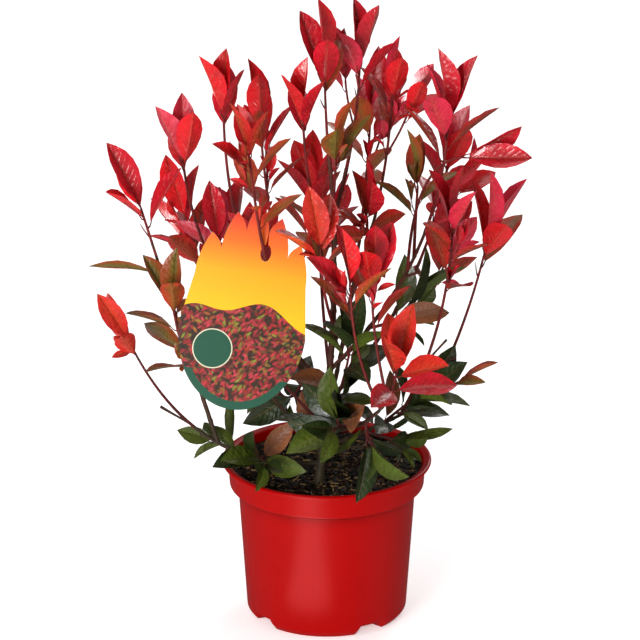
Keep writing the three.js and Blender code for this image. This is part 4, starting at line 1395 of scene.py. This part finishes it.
def blade_points(leaf, fold, thickness):
    """A leaf's corners: a folded, arching blade with gently waved edges and a drawn-out tip."""
    length, half, facing = leaf.length, leaf.width / 2, leaf.facing
    across = leaf.along.cross(facing)
    phase = leaf.around * PHASE_TURN
    sickle = SICKLE * math.sin(phase * 3)
    folded = fold * (FOLD_AT_TIP - FOLD_FALL * leaf.rank)
    narrowed = math.cos(math.atan(folded))
    upper, under = [], []
    for share, breadth in BLADE_ROWS:
        t = STALK_SHARE + (1 - STALK_SHARE) * share
        middle = leaf_middle(leaf, t) + across * (sickle * length * t * t)
        for j in range(BLADE_COLUMNS):
            s = 2 * j / (BLADE_COLUMNS - 1) - 1
            wave = EDGE_WAVE * math.sin(WAVES_ALONG * share + phase + WAVES_ACROSS * s) * s * s * length
            lift = folded * ((1 + FOLD_CURVE) * abs(s) - FOLD_CURVE * s * s) * half + wave
            upper.append(middle + across * (s * breadth * half * narrowed) + facing * (lift * breadth))
        body = upper[1 - BLADE_COLUMNS:-1]
        depth = thickness * (TIP_THICKNESS + (1 - TIP_THICKNESS) * breadth)
        under += [place - facing * depth for place in body]
    return upper[:-BLADE_COLUMNS] + [middle] + under[:2 - BLADE_COLUMNS]


# The hang tag's card


def card_outline():
    """The card's outline with its slit and hole as one run of corners, in millimetres."""
    def crown(step, drop):
        return Vector((TAG_OFFSET + TAG_POINT_WIDTH * step,
                       TAG_ABOVE - TAG_POINT_FALL * abs(step) ** TAG_FALL_GROWTH - drop))

    def bend(start, foot, tip, end):
        pull = Vector((foot.x, (foot.y + tip.y) / 2))
        shares = [i / BEND_STEPS for i in range(1, BEND_STEPS + 1)]
        return [start.lerp(pull, t).lerp(pull.lerp(end, t), t) for t in shares]

    def arc(steps, first, sweep, middle, width, height):
        angles = [first + sweep * k / steps for k in range(1, steps)]
        return [middle + Vector((width * math.cos(a), height * math.sin(a))) for a in angles]

    waist = Vector((TAG_OFFSET, -TAG_BELOW / 2))
    half = Vector((TAG_HALF_WIDTH, 0))
    last = (TAG_POINTS - 1) / 2
    corners = [waist + half, crown(last + 0.5, TAG_POINT_DEPTH)]
    for i in range(TAG_POINTS):
        tip = crown(last - i, 0)
        right, left = (crown(last - i + side, TAG_POINT_DEPTH) for side in (0.5, -0.5))
        corners += bend(corners[-1], right, tip, tip) + bend(tip, left, tip, left)
        if abs(left.x) < TAG_SLIT / 2:
            corners[-1] = Vector((TAG_SLIT / 2, left.y))
            corners += arc(HOLE_STEPS, math.pi / 2, -math.tau, Vector((0, 0)), TAG_HOLE_WIDTH / 2,
                           TAG_HOLE_HEIGHT / 2)
            corners.append(Vector((-TAG_SLIT / 2, left.y)))
    corners.append(waist - half)
    return corners + arc(BELLY_STEPS, math.pi, math.pi, waist, TAG_HALF_WIDTH, TAG_BELOW / 2)


def tag_place(path):
    """Where the card hangs: rolled, leaning back, and threaded on its twig by the hole."""
    low, high = 0.0, 1.0
    for _ in range(HALVINGS):
        middle = (low + high) / 2
        low, high = (middle, high) if path.point(middle).z < TAG_HANG else (low, middle)
    hang = path.point(low) + Vector((TAG_SHIFT, 0, 0))
    turn = Matrix.Rotation(math.pi / 2 - math.radians(TAG_LEAN), 4, "X")
    return Matrix.Translation(hang * MM) @ turn @ Matrix.Rotation(-math.radians(TAG_ROLL), 4, "Z")


GROWN = []
BLADE_FACES = blade_faces()

MAKERS = (
    ("photinia_studio", PHOTINIA_OT_studio, StudioSettings),
    ("photinia_pot", PHOTINIA_OT_pot, PotSettings),
    ("photinia_compost", PHOTINIA_OT_compost, CompostSettings),
    ("photinia_wood", PHOTINIA_OT_wood, WoodSettings),
    ("photinia_leaf", PHOTINIA_OT_leaves, LeafSettings),
    ("photinia_tag", PHOTINIA_OT_tag, TagSettings),
)


def register():
    for name, operator, group in MAKERS:
        bpy.utils.register_class(group)
        setattr(bpy.types.Scene, name, bpy.props.PointerProperty(type=group))
        bpy.utils.register_class(operator)
    bpy.utils.register_class(PHOTINIA_PT_panel)


def unregister():
    bpy.utils.unregister_class(PHOTINIA_PT_panel)
    for name, operator, group in reversed(MAKERS):
        bpy.utils.unregister_class(operator)
        delattr(bpy.types.Scene, name)
        bpy.utils.unregister_class(group)


def main():
    register()
    bpy.ops.photinia.studio()
    bpy.ops.photinia.pot()
    bpy.ops.photinia.compost()
    bpy.ops.photinia.wood()
    bpy.ops.photinia.leaves()
    bpy.ops.photinia.tag()


if __name__ == "__main__":
    main()
